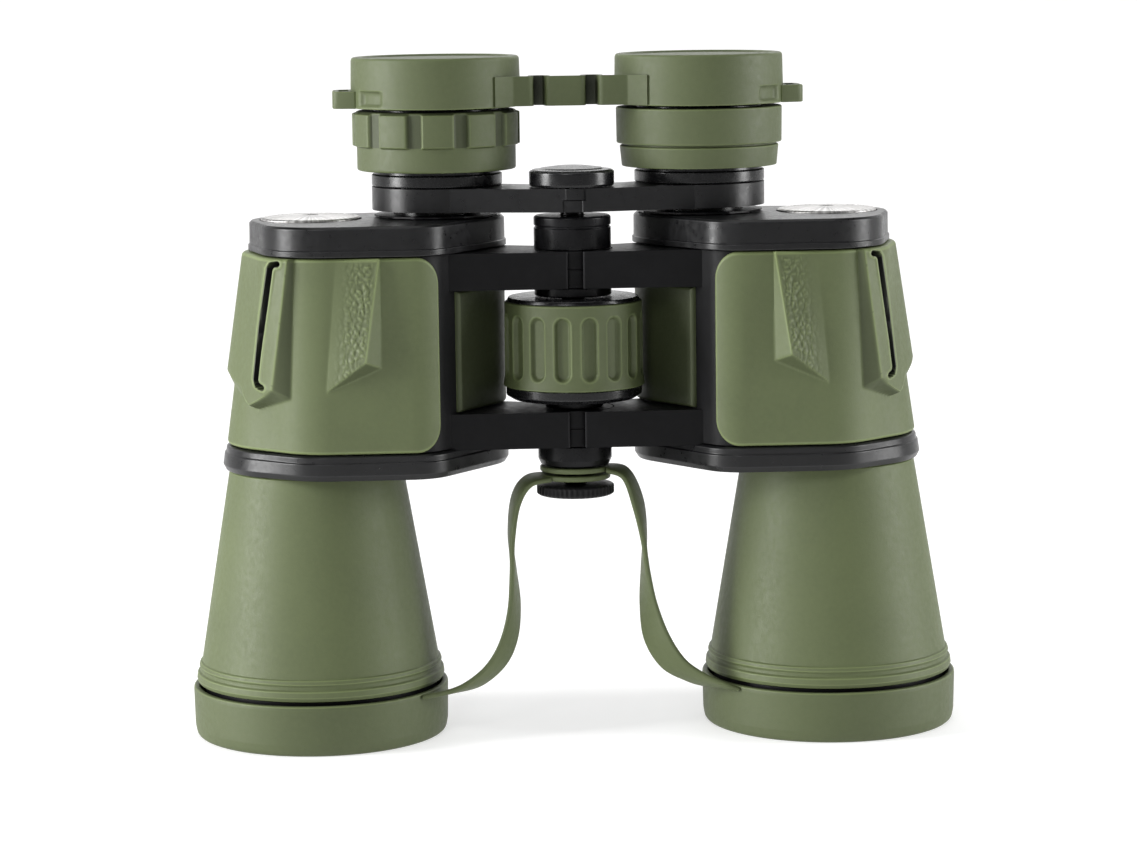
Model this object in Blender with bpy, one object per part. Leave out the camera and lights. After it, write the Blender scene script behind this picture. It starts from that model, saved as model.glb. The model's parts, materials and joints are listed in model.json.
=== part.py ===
"""Centre-focus porro prism binoculars with rubber armour, objective caps and a rainguard.

Metres, +Z up. The binoculars stand on their objective caps with the eyepieces on top. The origin is the
middle of the footprint, +X runs across the two barrels, and -Y is the side with the open focus wheel.
Each half is drawn once, for a side of -1 (left) or +1 (right)."""

import math

import bmesh
import bpy
from mathutils import Vector

MM = 0.001
GAP = 0.3 * MM
WELD = 0.002 * MM

# Plan: the hinge, and the places of the two optical axes of a half, measured from the hinge.
HINGE = Vector((0, -8.7 * MM, 0))
EYE = Vector((33.75 * MM, 13 * MM, 0))
OBJECTIVE = Vector((66.2 * MM, 9 * MM, 0))
CORNER = Vector((48 * MM, -5 * MM, 0))

# Heights above the floor.
CAP_TOP = 13 * MM
SLEEVE_LOW = 14 * MM
CONE_TOP = 69 * MM
FLANGE_LOW = 69.3 * MM
FLANGE_TOP = 75.7 * MM
BODY_LOW = 76 * MM
BODY_TOP = 125 * MM
COVER_TOP = 132.9 * MM
LOWER_LUG = (75.4 * MM, 84.5 * MM)
UPPER_LUG = (115.7 * MM, 125 * MM)
WHEEL_LOW = 86.9 * MM
WHEEL_TOP = 112.9 * MM
GRIP_LOW = 90.2 * MM
GRIP_TOP = 111.8 * MM
BRIDGE = (134.8 * MM, 140.7 * MM)
RING_LOW = 144.9 * MM
BAND_LOW = 151 * MM
BAND_TOP = 160 * MM
CUP_LOW = 160.8 * MM
TOP = 173.6 * MM
DOME_TOP = 146 * MM
STUB = (69.9 * MM, 75.1 * MM)
NECK_LOW = 66 * MM
TRIPOD_CAP = (61.9 * MM, 64.8 * MM)

# The body's plan outline is the taut loop round four circles. The outer one shrinks up to the cover.
EYE_CIRCLE = 17.3 * MM
OUTER_CIRCLE_LOW = 24 * MM
OUTER_CIRCLE_TOP = 15.9 * MM
FRONT_CIRCLES = ((42 * MM, -8 * MM, 12 * MM), (62 * MM, -3 * MM, 17 * MM))
ARMOUR = 1.6 * MM
ARMOUR_INSET = 0.4 * MM
HOUSING_WALL = 2 * MM
STRIP = (29 * MM, 34 * MM)
SUNK = 1 * MM

# Barrels and caps.
CAP_RADIUS = 32.9 * MM
CAP_WALL = 1.7 * MM
CONE_LOW_RADIUS = 31.1 * MM
CONE_TOP_RADIUS = 22.3 * MM
BEAD_RADIUS = 32 * MM
CONE_LOW = 16.5 * MM
SLEEVE = 1.4 * MM
TUBE_WALL = 2 * MM
MOUTH_RADIUS = 30 * MM
TUBE_NECK = 20 * MM
GLASS_STOP = 22 * MM
LENS_RADIUS = 25 * MM
DISC_RADIUS = 12.7 * MM

# Hinge.
SEAM = 1.9 * MM
LUG_FRONT = -11.5 * MM
ARM_GAP = 0.4 * MM
KNUCKLE = 9.8 * MM
PIN = 5 * MM
SCREW = 3 * MM
SHANK = 4 * MM
WHEEL_RADIUS = 17.6 * MM
FLUTES = 16
FLUTE_DEPTH = 1.1 * MM
DOME_RADIUS = 10.8 * MM
STUB_RADIUS = 9.4 * MM
NECK_RADIUS = 5.4 * MM
TRIPOD_CAP_RADIUS = 9.9 * MM
STUD = 2.7 * MM

# Eyepieces.
GUIDE_BORE = 11.3 * MM
BARREL = 11 * MM
GUIDE = 12.6 * MM
BRIDGE_BORE = 14.3 * MM
BRIDGE_RING = 16.7 * MM
TUBE_TOP = 160.4 * MM
RING_RADIUS = 20.4 * MM
BAND_RADIUS = 21.3 * MM
PADS = 11
CUP_RADIUS = 21.7 * MM
EYECUP_RADIUS = 19.3 * MM

# Straps: each is a ring round the neck and a flat band down to the cap's rim.
STRAP = 1.3 * MM
STRAP_RING = 9 * MM
STRAP_RING_HEIGHT = {-1: 66.8 * MM, 1: 68.8 * MM}

ROUND = 24
SMALL_ROUND = 16

# Finishes: colour, roughness, metallic.
GREEN_RUBBER = ((0.16, 0.19, 0.09), 0.62, 0.0)
BLACK_RUBBER = ((0.015, 0.015, 0.016), 0.7, 0.0)
BLACK_PLASTIC = ((0.02, 0.02, 0.022), 0.4, 0.0)
BLACK_METAL = ((0.03, 0.03, 0.032), 0.35, 0.6)
BRIGHT_METAL = ((0.75, 0.75, 0.76), 0.25, 1.0)
SPRING_STEEL = ((0.5, 0.5, 0.52), 0.35, 1.0)
CROWN_GLASS = ((0.55, 0.2, 0.25), 0.03, 0.0)
CLEAR_GLASS = ((0.8, 0.85, 0.85), 0.03, 0.0)


def clear_scene():
    for old in list(bpy.data.objects):
        bpy.data.objects.remove(old)


def own_material(name, finish):
    colour, roughness, metallic = finish
    material = bpy.data.materials.new(name)
    material.use_nodes = True
    shader = material.node_tree.nodes["Principled BSDF"]
    shader.inputs["Base Color"].default_value = (*colour, 1)
    shader.inputs["Roughness"].default_value = roughness
    shader.inputs["Metallic"].default_value = metallic
    return material


def solid(name, shape, at=(0, 0, 0)):
    """An object from a bmesh, with its faces turned outward."""
    bmesh.ops.recalc_face_normals(shape, faces=shape.faces)
    mesh = bpy.data.meshes.new(name)
    shape.to_mesh(mesh)
    shape.free()
    piece = bpy.data.objects.new(name, mesh)
    piece.location = at
    bpy.context.scene.collection.objects.link(piece)
    return piece


def finish_piece(piece, finish, body):
    """Gives a piece its material and its parent, and smooths its round faces."""
    piece.data.materials.clear()
    piece.data.materials.append(own_material(piece.name, finish))
    piece.data.shade_smooth()
    piece.data.set_sharp_from_angle(angle=math.radians(32))
    piece.parent = body
    piece.matrix_parent_inverse = body.matrix_world.inverted()
    return piece


def body_empty(name, at, parent=None):
    """An empty on a body's joint axis. The body's pieces are its children."""
    empty = bpy.data.objects.new(name, None)
    empty.empty_display_size = 0.01
    bpy.context.scene.collection.objects.link(empty)
    empty.location = at
    bpy.context.view_layer.update()
    if parent:
        empty.parent = parent
        empty.matrix_parent_inverse = parent.matrix_world.inverted()
        bpy.context.view_layer.update()
    return empty


def join_loops(shape, low, high):
    """Faces between two loops of points. A loop of one point is a tip."""
    count = max(len(low), len(high))
    for k in range(count if len(low) + len(high) > 2 else 0):
        following = (k + 1) % count
        corners = [low[k % len(low)], low[following % len(low)]]
        corners += [high[following % len(high)], high[k % len(high)]]
        shape.faces.new(list(dict.fromkeys(corners)))


def loop_solid(name, loops, at=(0, 0, 0), ring=False):
    """A solid through loops of 3-D points: closed by end faces, or joined end to end as a ring."""
    shape = bmesh.new()
    rows = [[shape.verts.new(point) for point in loop] for loop in loops]
    for low, high in zip(rows, rows[1:]):
        join_loops(shape, low, high)
    if ring:
        join_loops(shape, rows[-1], rows[0])
    else:
        for row in (rows[0], rows[-1]):
            if len(row) > 2:
                shape.faces.new(row)
    return solid(name, shape, at)


def circle(radius, height, steps):
    turns = [2 * math.pi * k / steps for k in range(steps)]
    if radius == 0:
        return [(0, 0, height)]
    return [(radius * math.cos(turn), radius * math.sin(turn), height) for turn in turns]


def turned(name, profile, at, steps=ROUND):
    """A turned solid about the vertical through a point. The profile's (radius, height) points run from
    one end of the axis to the other, or round a closed loop where none of them is on the axis."""
    ring = all(radius > 0 for radius, _ in profile)
    loops = [circle(radius, height, steps) for radius, height in profile]
    return loop_solid(name, loops, (at.x, at.y, 0), ring)


def rod(name, radius, low, high, at, steps=SMALL_ROUND):
    return turned(name, ((0, low), (radius, low), (radius, high), (0, high)), at, steps)


def tube(name, outer, inner, low, high, at, steps=SMALL_ROUND):
    return turned(name, ((outer, low), (outer, high), (inner, high), (inner, low)), at, steps)


def slab(name, outline, low, high, at=(0, 0, 0)):
    """An upright solid on a plan outline."""
    loops = [[(x, y, height) for x, y in outline] for height in (low, high)]
    return loop_solid(name, loops, at)


def hull(name, points):
    """The convex solid on some points."""
    shape = bmesh.new()
    for point in points:
        shape.verts.new(point)
    made = bmesh.ops.convex_hull(shape, input=shape.verts)
    loose = {face for face in made["geom_interior"] if isinstance(face, bmesh.types.BMVert)}
    bmesh.ops.delete(shape, geom=list(loose), context="VERTS")
    return solid(name, shape)


def combine(piece, tool, operation):
    """Joins a tool's solid to a piece, or cuts it away, and removes the tool."""
    change = piece.modifiers.new("combine", "BOOLEAN")
    change.operation = operation
    change.object = tool
    graph = bpy.context.evaluated_depsgraph_get()
    mesh = bpy.data.meshes.new_from_object(piece.evaluated_get(graph))
    piece.modifiers.clear()
    shape = bmesh.new()
    shape.from_mesh(mesh)
    bmesh.ops.remove_doubles(shape, verts=shape.verts, dist=WELD)
    bmesh.ops.dissolve_degenerate(shape, edges=shape.edges, dist=WELD)
    bmesh.ops.triangulate(shape, faces=[face for face in shape.faces if len(face.verts) > 4])
    shape.to_mesh(mesh)
    shape.free()
    piece.data = mesh
    bpy.data.objects.remove(tool)
    return piece


def cut(piece, *tools):
    for tool in tools:
        combine(piece, tool, "DIFFERENCE")
    return piece


def add(piece, *tools):
    for tool in tools:
        combine(piece, tool, "UNION")
    return piece


def place(side, spot):
    """A spot of a half, in world coordinates."""
    return Vector((side * spot.x, HINGE.y + spot.y, 0))


def plan(side, points):
    """Plan points of a half, measured from the hinge, in world coordinates."""
    return [(side * x, HINGE.y + y) for x, y in points]


def arc(radius, start, end, steps):
    """Points on a circle round the hinge, between two angles in degrees."""
    turns = [math.radians(start + (end - start) * k / steps) for k in range(steps + 1)]
    return [(radius * math.cos(turn), radius * math.sin(turn)) for turn in turns]


def outer_circle(height):
    """The radius of the body's outer circle at a height. It stays the same above the body's top."""
    level = min((height - FLANGE_LOW) / (BODY_TOP - FLANGE_LOW), 1)
    return OUTER_CIRCLE_LOW + level * (OUTER_CIRCLE_TOP - OUTER_CIRCLE_LOW)


def outline_point(side, grow, height, turn):
    """The point that faces a direction on the taut loop round the body's circles, grown outward."""
    across, along = math.cos(turn), math.sin(turn)
    outer = (OBJECTIVE.x, OBJECTIVE.y, outer_circle(height))
    circles = ((EYE.x, EYE.y, EYE_CIRCLE), outer, *FRONT_CIRCLES)
    x, y, radius = max(circles, key=lambda c: side * c[0] * across + c[1] * along + c[2])
    reach = radius + grow
    return (side * x + reach * across, HINGE.y + y + reach * along, height)


def body_outline(side, grow, height, steps=36):
    """The body's outline at a height, as 3-D points."""
    return [outline_point(side, grow, height, 2 * math.pi * k / steps) for k in range(steps)]


def body_slab(name, side, grow, low, high, steps=36):
    return loop_solid(name, [body_outline(side, grow, height, steps) for height in (low, high)])


def lug_outline(side, grow=0):
    """The plan of a hinge arm, which ends inside the body."""
    front = LUG_FRONT - grow
    back_angle = 68
    back = arc(KNUCKLE + grow, back_angle, back_angle, 1)[0]
    deep = 36 * MM
    return plan(side, ((SEAM, front), (deep, front), (deep, 10 * MM), (20 * MM, 14 * MM + grow), back))


def hinge_arm(name, side, outline, span, own, bore, other_span):
    """An arm with a knuckle at its own height, cut clear of the other half's knuckle."""
    arm = slab(name, outline, *span)
    add(arm, rod("knuckle", KNUCKLE, *own, HINGE))
    cut(arm, rod("clearance", KNUCKLE + ARM_GAP, *other_span, HINGE))
    return cut(arm, rod("bore", bore, span[0] - MM, span[1] + MM, HINGE))


def knuckle_spans(side, span):
    """(this half's knuckle heights, the heights it leaves to the other half)."""
    low, high = span
    middle = (low + high) / 2
    if side < 0:
        return (middle + GAP / 2, high), (low - MM, middle + GAP / 2)
    return (low, middle - GAP / 2), (middle - GAP / 2, high + MM)


def prism_housing(side, name):
    """The cast body shell: open at the top, with the objective's hole in its floor and two hinge arms."""
    inset = -ARMOUR - GAP - ARMOUR_INSET
    shell = body_slab(name, side, inset, BODY_LOW, BODY_TOP)
    for span in (LOWER_LUG, UPPER_LUG):
        own, other = knuckle_spans(side, span)
        add(shell, hinge_arm("arm", side, lug_outline(side), span, own, PIN + GAP, other))
    floor = BODY_LOW + 2.5 * MM
    cut(shell, body_slab("inside", side, inset - HOUSING_WALL, floor, BODY_TOP + MM))
    return cut(shell, rod("window", 16.5 * MM, 0, floor + MM, place(side, OBJECTIVE)))


def front_surface(x, height):
    """How far forward the armour's front reaches at a place across the body."""
    outline = body_outline(1, -ARMOUR_INSET, height, 360)
    near = min((p for p in outline if p[1] < HINGE.y), key=lambda p: abs(p[0] - x))
    return near[1]


def thumb_ridge(side):
    """A raised facet that stands out most at its lower end. Each spot is its place across, its height and
    how far behind the armour's face it lies."""
    low, high = 98.2 * MM, BODY_TOP - ARMOUR_INSET
    spots = [
        (48.5 * MM, high, SUNK),
        (60 * MM, high, SUNK),
        (48.3 * MM, low - MM, SUNK),
        (63.8 * MM, 91.3 * MM, SUNK),
        (49.3 * MM, high, -1 * MM),
        (52.4 * MM, low + MM, -4 * MM),
    ]
    return hull("ridge", [(side * x, front_surface(x, z) + y, z) for x, z, y in spots])


def strap_wedge(side):
    """The raised lug round the outer end, which the neck strap passes through. Each row is a height, then
    the direction in degrees that each place faces and how far it stands out, in millimetres."""
    points = []
    rows = (
        (BODY_TOP - 0.4 * MM, (-66, 0.2), (-61, 1.3), (-45, 2.1), (-15, 2.1), (10, 1.8), (38, 0.2)),
        (92 * MM, (-62, 0.2), (-50, 3.3), (-35, 3), (-15, 2.5), (10, 2.1), (38, 0.2)),
        (86 * MM, (-52, 0.1), (-42, 0.2), (-30, 0.2), (-15, 0.2), (10, 0.2), (38, 0.1)),
    )
    for height, *spots in rows:
        for angle, proud in spots:
            turn = math.radians(angle if side > 0 else 180 - angle)
            for grow in (proud * MM, -SUNK):
                points.append(outline_point(side, grow - ARMOUR_INSET, height, turn))
    return hull("wedge", points)


def strap_slot(side):
    """The cutter of the narrow strap slot, which leans outward towards its lower end."""
    spots = ((74.6 * MM, 123 * MM), (75.8 * MM, 123 * MM), (79.4 * MM, 92.5 * MM), (78.2 * MM, 92.5 * MM))
    points = [(side * x, HINGE.y + y, z) for x, z in spots for y in (-24 * MM, -6 * MM)]
    return hull("slot", points)


def body_armour(side, name):
    """The rubber skin, open at the strip that carries the hinge arms."""
    skin = body_slab(name, side, -ARMOUR_INSET, BODY_LOW, BODY_TOP)
    add(skin, thumb_ridge(side), strap_wedge(side))
    cut(skin, strap_slot(side))
    cut(skin, body_slab("inside", side, -ARMOUR_INSET - ARMOUR, BODY_LOW - MM, BODY_TOP + MM))
    low, high = STRIP
    strip = plan(side, ((low, -30 * MM), (high, -30 * MM), (high, 0), (low, 0)))
    below, above = BODY_LOW - 6 * MM, BODY_TOP + 6 * MM
    cut(skin, slab("strip", strip, below, above))
    wide = lug_outline(side, ARM_GAP)
    cut(skin, slab("notch", wide, below, LOWER_LUG[1] + ARM_GAP))
    return cut(skin, slab("notch", wide, UPPER_LUG[0] - ARM_GAP, above))


def cover_plate(side, name):
    low = BODY_TOP + GAP
    rows = ((0, low), (0, COVER_TOP - 0.9 * MM), (-0.9 * MM, COVER_TOP))
    plate = loop_solid(name, [body_outline(side, grow, height) for grow, height in rows])
    cut(plate, body_slab("underside", side, -4 * MM, low - MM, low + 3 * MM))
    eye, objective = place(side, EYE), place(side, OBJECTIVE)
    cut(plate, rod("guide_hole", GUIDE + GAP, 0.1, 0.2, eye, ROUND))
    seat = rod("disc_seat", DISC_RADIUS + ARM_GAP, COVER_TOP - 1 * MM, COVER_TOP + MM, objective, ROUND)
    return cut(plate, seat)


def cover_disc(side, name):
    """A bright disc with a shallow dome, set in the cover."""
    profile = (
        (0, COVER_TOP - 0.7 * MM),
        (DISC_RADIUS, COVER_TOP - 0.7 * MM),
        (DISC_RADIUS, COVER_TOP + 0.4 * MM),
        (DISC_RADIUS - 1 * MM, COVER_TOP + 0.8 * MM),
        (0, COVER_TOP + 1.1 * MM),
    )
    return turned(name, profile, place(side, OBJECTIVE))


def flange(side, name):
    rows = ((-1 * MM, FLANGE_LOW), (0, FLANGE_LOW + 1 * MM), (0, FLANGE_TOP))
    plate = loop_solid(name, [body_outline(side, grow, height) for grow, height in rows])
    below, above = FLANGE_LOW - MM, FLANGE_TOP + MM
    cut(plate, rod("barrel_hole", TUBE_NECK + GAP, below, above, place(side, OBJECTIVE), ROUND))
    return cut(plate, slab("arm_seat", lug_outline(side, ARM_GAP), LOWER_LUG[0] - GAP, BODY_LOW + MM))


def prism(name, start, end, width, base, tip):
    """A right-angle prism with its long face at the base height, running between two plan points."""
    along = (end - start).normalized()
    middle = (start + end) / 2
    across = Vector((-along.y, along.x, 0)) * width / 2
    half = 18 * MM
    ridge = 2 * MM
    spots = ((-half, base), (half, base), (ridge, tip), (-ridge, tip))
    loops = []
    for shift in (-across, across):
        loops.append([tuple(middle + along * run + shift + Vector((0, 0, z))) for run, z in spots])
    return loop_solid(name, loops)


def prism_clip(name, start, end, base, tip):
    """A bent spring strip over a prism's ridge, with its feet on the shelf."""
    along = (end - start).normalized()
    across = Vector((-along.y, along.x, 0)) * 3 * MM
    middle = (start + end) / 2
    rise = 1 if tip > base else -1
    clear, thick = 0.5 * MM, 0.6 * MM
    foot, run = 19.2 * MM, 3.2 * MM
    inside = ((-foot, base), (-run, tip + rise * clear), (run, tip + rise * clear), (foot, base))
    outside = [(along_run * 1.05, z + rise * thick) for along_run, z in inside]
    outside[0] = (-foot - thick * 1.6, base)
    outside[-1] = (foot + thick * 1.6, base)
    spots = [*inside, *reversed(outside)]
    loops = []
    for shift in (-across, across):
        loops.append([tuple(middle + along * x + shift + Vector((0, 0, z))) for x, z in spots])
    return loop_solid(name, loops)


def prism_shelf(side, name):
    low, high = 98.8 * MM, 101.2 * MM
    shelf = body_slab(name, side, -ARMOUR - HOUSING_WALL - 1.2 * MM, low, high, 32)
    for spot in (EYE, CORNER, OBJECTIVE):
        cut(shelf, rod("window", 8 * MM, 0, 0.2, place(side, spot), SMALL_ROUND))
    return shelf


def objective_tube(side, name):
    """The tapered barrel: a stepped mouth for the lenses, and a neck that sits in the flange."""
    inset = SLEEVE + GAP
    mouth = 3.5 * MM
    outer = (
        (MOUTH_RADIUS, mouth),
        (MOUTH_RADIUS, SLEEVE_LOW - 0.6 * MM),
        (CONE_LOW_RADIUS - inset, SLEEVE_LOW + 1 * MM),
        (CONE_TOP_RADIUS - inset, CONE_TOP - GAP),
        (TUBE_NECK, CONE_TOP),
        (TUBE_NECK, FLANGE_TOP),
    )
    inner = (
        (TUBE_NECK - TUBE_WALL, FLANGE_TOP),
        (CONE_TOP_RADIUS - inset - TUBE_WALL, CONE_TOP - MM),
        (LENS_RADIUS - 2 * MM, GLASS_STOP),
        (LENS_RADIUS + GAP, GLASS_STOP),
        (LENS_RADIUS + GAP, 5 * MM),
        (27.5 * MM, mouth),
    )
    return turned(name, outer + inner, place(side, OBJECTIVE))


def barrel_sleeve(side, name):
    """The rubber skin of a barrel, with a bead round its lower end."""
    taper = (CONE_TOP_RADIUS - CONE_LOW_RADIUS) / (CONE_TOP - CONE_LOW)
    outer = (
        (BEAD_RADIUS - 0.6 * MM, SLEEVE_LOW),
        (BEAD_RADIUS, SLEEVE_LOW + 0.7 * MM),
        (BEAD_RADIUS, 15.6 * MM),
        (CONE_LOW_RADIUS, CONE_LOW),
        (CONE_TOP_RADIUS, CONE_TOP),
    )
    inner = (
        (CONE_TOP_RADIUS - SLEEVE, CONE_TOP),
        (CONE_LOW_RADIUS - SLEEVE + taper * (SLEEVE_LOW - CONE_LOW), SLEEVE_LOW),
    )
    return turned(name, outer + inner, place(side, OBJECTIVE))


def lens(name, radius, edge_low, edge_high, sag_low, sag_high, at):
    """A lens whose faces bulge below and above its edge by the given sags."""
    shares = (0, 0.45, 0.8)
    profile = [(radius * share, edge_low - sag_low * (1 - share**2)) for share in shares]
    profile += [(radius, edge_low), (radius, edge_high)]
    profile += [(radius * share, edge_high + sag_high * (1 - share**2)) for share in reversed(shares)]
    return turned(name, profile, at, SMALL_ROUND)


def objective_cap(side, name):
    profile = (
        (0, 0),
        (CAP_RADIUS - 2.2 * MM, 0),
        (CAP_RADIUS - 0.6 * MM, 0.7 * MM),
        (CAP_RADIUS, 2.4 * MM),
        (CAP_RADIUS, CAP_TOP),
        (CAP_RADIUS - CAP_WALL, CAP_TOP),
        (CAP_RADIUS - CAP_WALL, 2.2 * MM),
        (0, 2.2 * MM),
    )
    return turned(name, profile, place(side, OBJECTIVE), 32)


def strap_route(side):
    """(near edge, far edge) of the band from the ring down to the cap, measured from the hinge, in mm."""
    if side < 0:
        return (
            ((6.5, -6.8, 66.6), (6.5, 1.5, 67.2)),
            ((11.8, -6.8, 65.2), (12.6, 1.5, 66.4)),
            ((15, -7, 60), (16, 1.3, 61.6)),
            ((16.6, -7.5, 51), (17, 1, 52)),
            ((17, -8, 43), (16, 0.5, 43)),
            ((17.9, -8.6, 33.5), (14.9, -0.6, 34)),
            ((20.3, -9.5, 25.4), (15.6, -2.4, 25.6)),
            ((24, -10.6, 19.6), (18.6, -4.2, 19)),
            ((29, -11.6, 15.6), (24.6, -4.6, 14)),
            ((33.6, -12.2, 13.6), (31.5, -4.4, 12.2)),
            ((40.4, -12.3, 12.3), (35.6, -4.2, 11.8)),
        )
    return (
        ((7.5, -6.6, 68.7), (7.5, 1.5, 69.1)),
        ((12, -6.6, 66.4), (13.4, 1.6, 67.9)),
        ((14.6, -7, 58.6), (17, 1.2, 60.6)),
        ((16.6, -7.6, 50.4), (17.8, 0.9, 51.4)),
        ((17.9, -8, 42.4), (17.1, 0.5, 42.4)),
        ((19.8, -8.6, 34.2), (16.4, -0.6, 33.6)),
        ((23, -9.6, 26), (17, -3.4, 24.4)),
        ((27.2, -10.6, 19.6), (21.2, -4.6, 17.2)),
        ((32.6, -11.8, 15.8), (27.6, -4.8, 13.6)),
        ((37, -12.6, 13.8), (32.4, -4.6, 12.2)),
        ((40.6, -12.4, 12.3), (35.4, -4.2, 11.8)),
    )


def cap_strap(side, name):
    """A soft ring round the neck, and the twisted flat band that ends at the cap's rim."""
    height = STRAP_RING_HEIGHT[side]
    ring = tube(name, STRAP_RING, NECK_RADIUS + GAP, height - STRAP / 2, height + STRAP / 2, HINGE)
    loops = []
    route = []
    for near, far in strap_route(side):
        ends = [Vector((side * x * MM, y * MM + HINGE.y, z * MM)) for x, y, z in (near, far)]
        route.append(ends)
    for k, (near, far) in enumerate(route):
        before, after = route[max(k - 1, 0)], route[min(k + 1, len(route) - 1)]
        run = (after[0] + after[1] - before[0] - before[1]).normalized()
        thick = (far - near).cross(run).normalized() * STRAP / 2
        loops.append([tuple(p) for p in (near + thick, far + thick, far - thick, near - thick)])
    band = loop_solid("band", loops)
    add(ring, band)
    keep_out = NECK_RADIUS + GAP
    return cut(ring, rod("hole", keep_out, 0.05, 0.08, HINGE))


def eyepiece_guide(side, name):
    """The bush in the cover that the eyepiece's barrel slides in."""
    collar = COVER_TOP + GAP
    profile = (
        (GUIDE, 116 * MM),
        (GUIDE, collar),
        (16.2 * MM, collar),
        (16.2 * MM, collar + 0.4 * MM),
        (GUIDE_BORE, collar + 0.4 * MM),
        (GUIDE_BORE, 116 * MM),
    )
    return turned(name, profile, place(side, EYE), SMALL_ROUND)


def eyepiece_tube(side, name):
    """The eyepiece's barrel: a sliding lower end, a seat for the bridge's ring, and the lens cell's bore."""
    low = 110 * MM
    seat_low, seat_top = BRIDGE[0] - 0.2 * MM, BRIDGE[1] + 0.2 * MM
    profile = (
        (BARREL, low),
        (BARREL, seat_low),
        (BRIDGE_BORE - GAP, seat_low),
        (BRIDGE_BORE - GAP, seat_top),
        (BRIDGE_RING, seat_top),
        (BRIDGE_RING, RING_LOW - GAP),
        (16 * MM, RING_LOW - GAP),
        (16 * MM, TUBE_TOP),
        (14.3 * MM, TUBE_TOP),
        (14.3 * MM, 148 * MM),
        (9.4 * MM, 148 * MM),
        (9.4 * MM, low),
    )
    return turned(name, profile, place(side, EYE))


def bridge_arm(side, name):
    """The arm that carries an eyepiece: a knuckle on the screw's shank and a ring round the barrel."""
    front = -10 * MM
    back = arc(KNUCKLE, 67, 67, 1)[0]
    outline = plan(side, ((SEAM, front), (31 * MM, -3.5 * MM), (34 * MM, 12 * MM), (20 * MM, 16 * MM), back))
    own, other = knuckle_spans(side, BRIDGE)
    arm = slab(name, outline, *BRIDGE)
    add(arm, rod("knuckle", KNUCKLE, *own, HINGE), rod("ring", BRIDGE_RING, *BRIDGE, place(side, EYE), ROUND))
    below, above = BRIDGE[0] - MM, BRIDGE[1] + MM
    cut(arm, rod("clearance", KNUCKLE + ARM_GAP, *other, HINGE))
    cut(arm, rod("bore", SHANK + GAP, below, above, HINGE))
    return cut(arm, rod("barrel_bore", BRIDGE_BORE, below, above, place(side, EYE), ROUND))


def grip_ring(side, name, pads):
    """The ring round an eyepiece: square pads on the dioptre side, a smooth band on the fixed side."""
    inner = 16.4 * MM
    band = RING_RADIUS if pads else BAND_RADIUS
    profile = (
        (RING_RADIUS - 0.4 * MM, RING_LOW),
        (RING_RADIUS, RING_LOW + 0.5 * MM),
        (RING_RADIUS, BAND_LOW - 0.5 * MM),
        (band, BAND_LOW),
        (band, BAND_TOP),
        (inner, BAND_TOP),
        (inner, RING_LOW),
    )
    ring = turned(name, profile, place(side, EYE))
    for k in range(pads):
        middle = 2 * math.pi * (k + 0.08) / pads - math.pi / 2
        spread = math.radians(11)
        outline = []
        for turn, radius in (
            (middle - spread, RING_RADIUS - 1.2 * MM),
            (middle - spread, BAND_RADIUS - 0.1 * MM),
            (middle, BAND_RADIUS + 0.2 * MM),
            (middle + spread, BAND_RADIUS - 0.1 * MM),
            (middle + spread, RING_RADIUS - 1.2 * MM),
        ):
            centre = place(side, EYE)
            outline.append((centre.x + radius * math.cos(turn), centre.y + radius * math.sin(turn)))
        add(ring, slab("pad", outline, BAND_LOW, BAND_TOP - 0.2 * MM))
    return ring


def eyecup(side, name):
    low = TUBE_TOP + GAP
    profile = (
        (EYECUP_RADIUS, low),
        (EYECUP_RADIUS, 170 * MM),
        (EYECUP_RADIUS - 1 * MM, 171 * MM),
        (EYECUP_RADIUS - 2.4 * MM, 170.6 * MM),
        (EYECUP_RADIUS - 2.4 * MM, low + 1.6 * MM),
        (13 * MM, low + 1.6 * MM),
        (13 * MM, low),
    )
    return turned(name, profile, place(side, EYE))


def loop_outline(side, near, far, near_half, far_half):
    """A plan outline on an eyepiece's outer side, between two distances from its axis."""
    centre = place(side, EYE)
    corners = ((near, -near_half), (far, -far_half), (far, far_half), (near, near_half))
    return [(centre.x + side * x, centre.y + y) for x, y in corners]


def rainguard_cup(side, name):
    """A soft cover over an eyecup, with a strap loop low on its outer side."""
    centre = place(side, EYE)
    inner = CUP_RADIUS - 1.8 * MM
    profile = (
        (0, TOP),
        (CUP_RADIUS - 1.4 * MM, TOP),
        (CUP_RADIUS, TOP - 1.4 * MM),
        (CUP_RADIUS, CUP_LOW),
        (inner, CUP_LOW),
        (inner, TOP - 2 * MM),
        (0, TOP - 2 * MM),
    )
    cup = turned(name, profile, centre)
    loop_top = CUP_LOW + 4.4 * MM
    near, far = CUP_RADIUS - 1.4 * MM, CUP_RADIUS + 4.6 * MM
    add(cup, slab("loop", loop_outline(side, near, far, 7 * MM, 6 * MM), CUP_LOW, loop_top))
    near, far = CUP_RADIUS + 0.6 * MM, far - 1.6 * MM
    slot = slab("loop_slot", loop_outline(side, near, far, 4.4 * MM, 4.4 * MM), CUP_LOW - MM, loop_top + MM)
    return cut(cup, slot)


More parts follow.
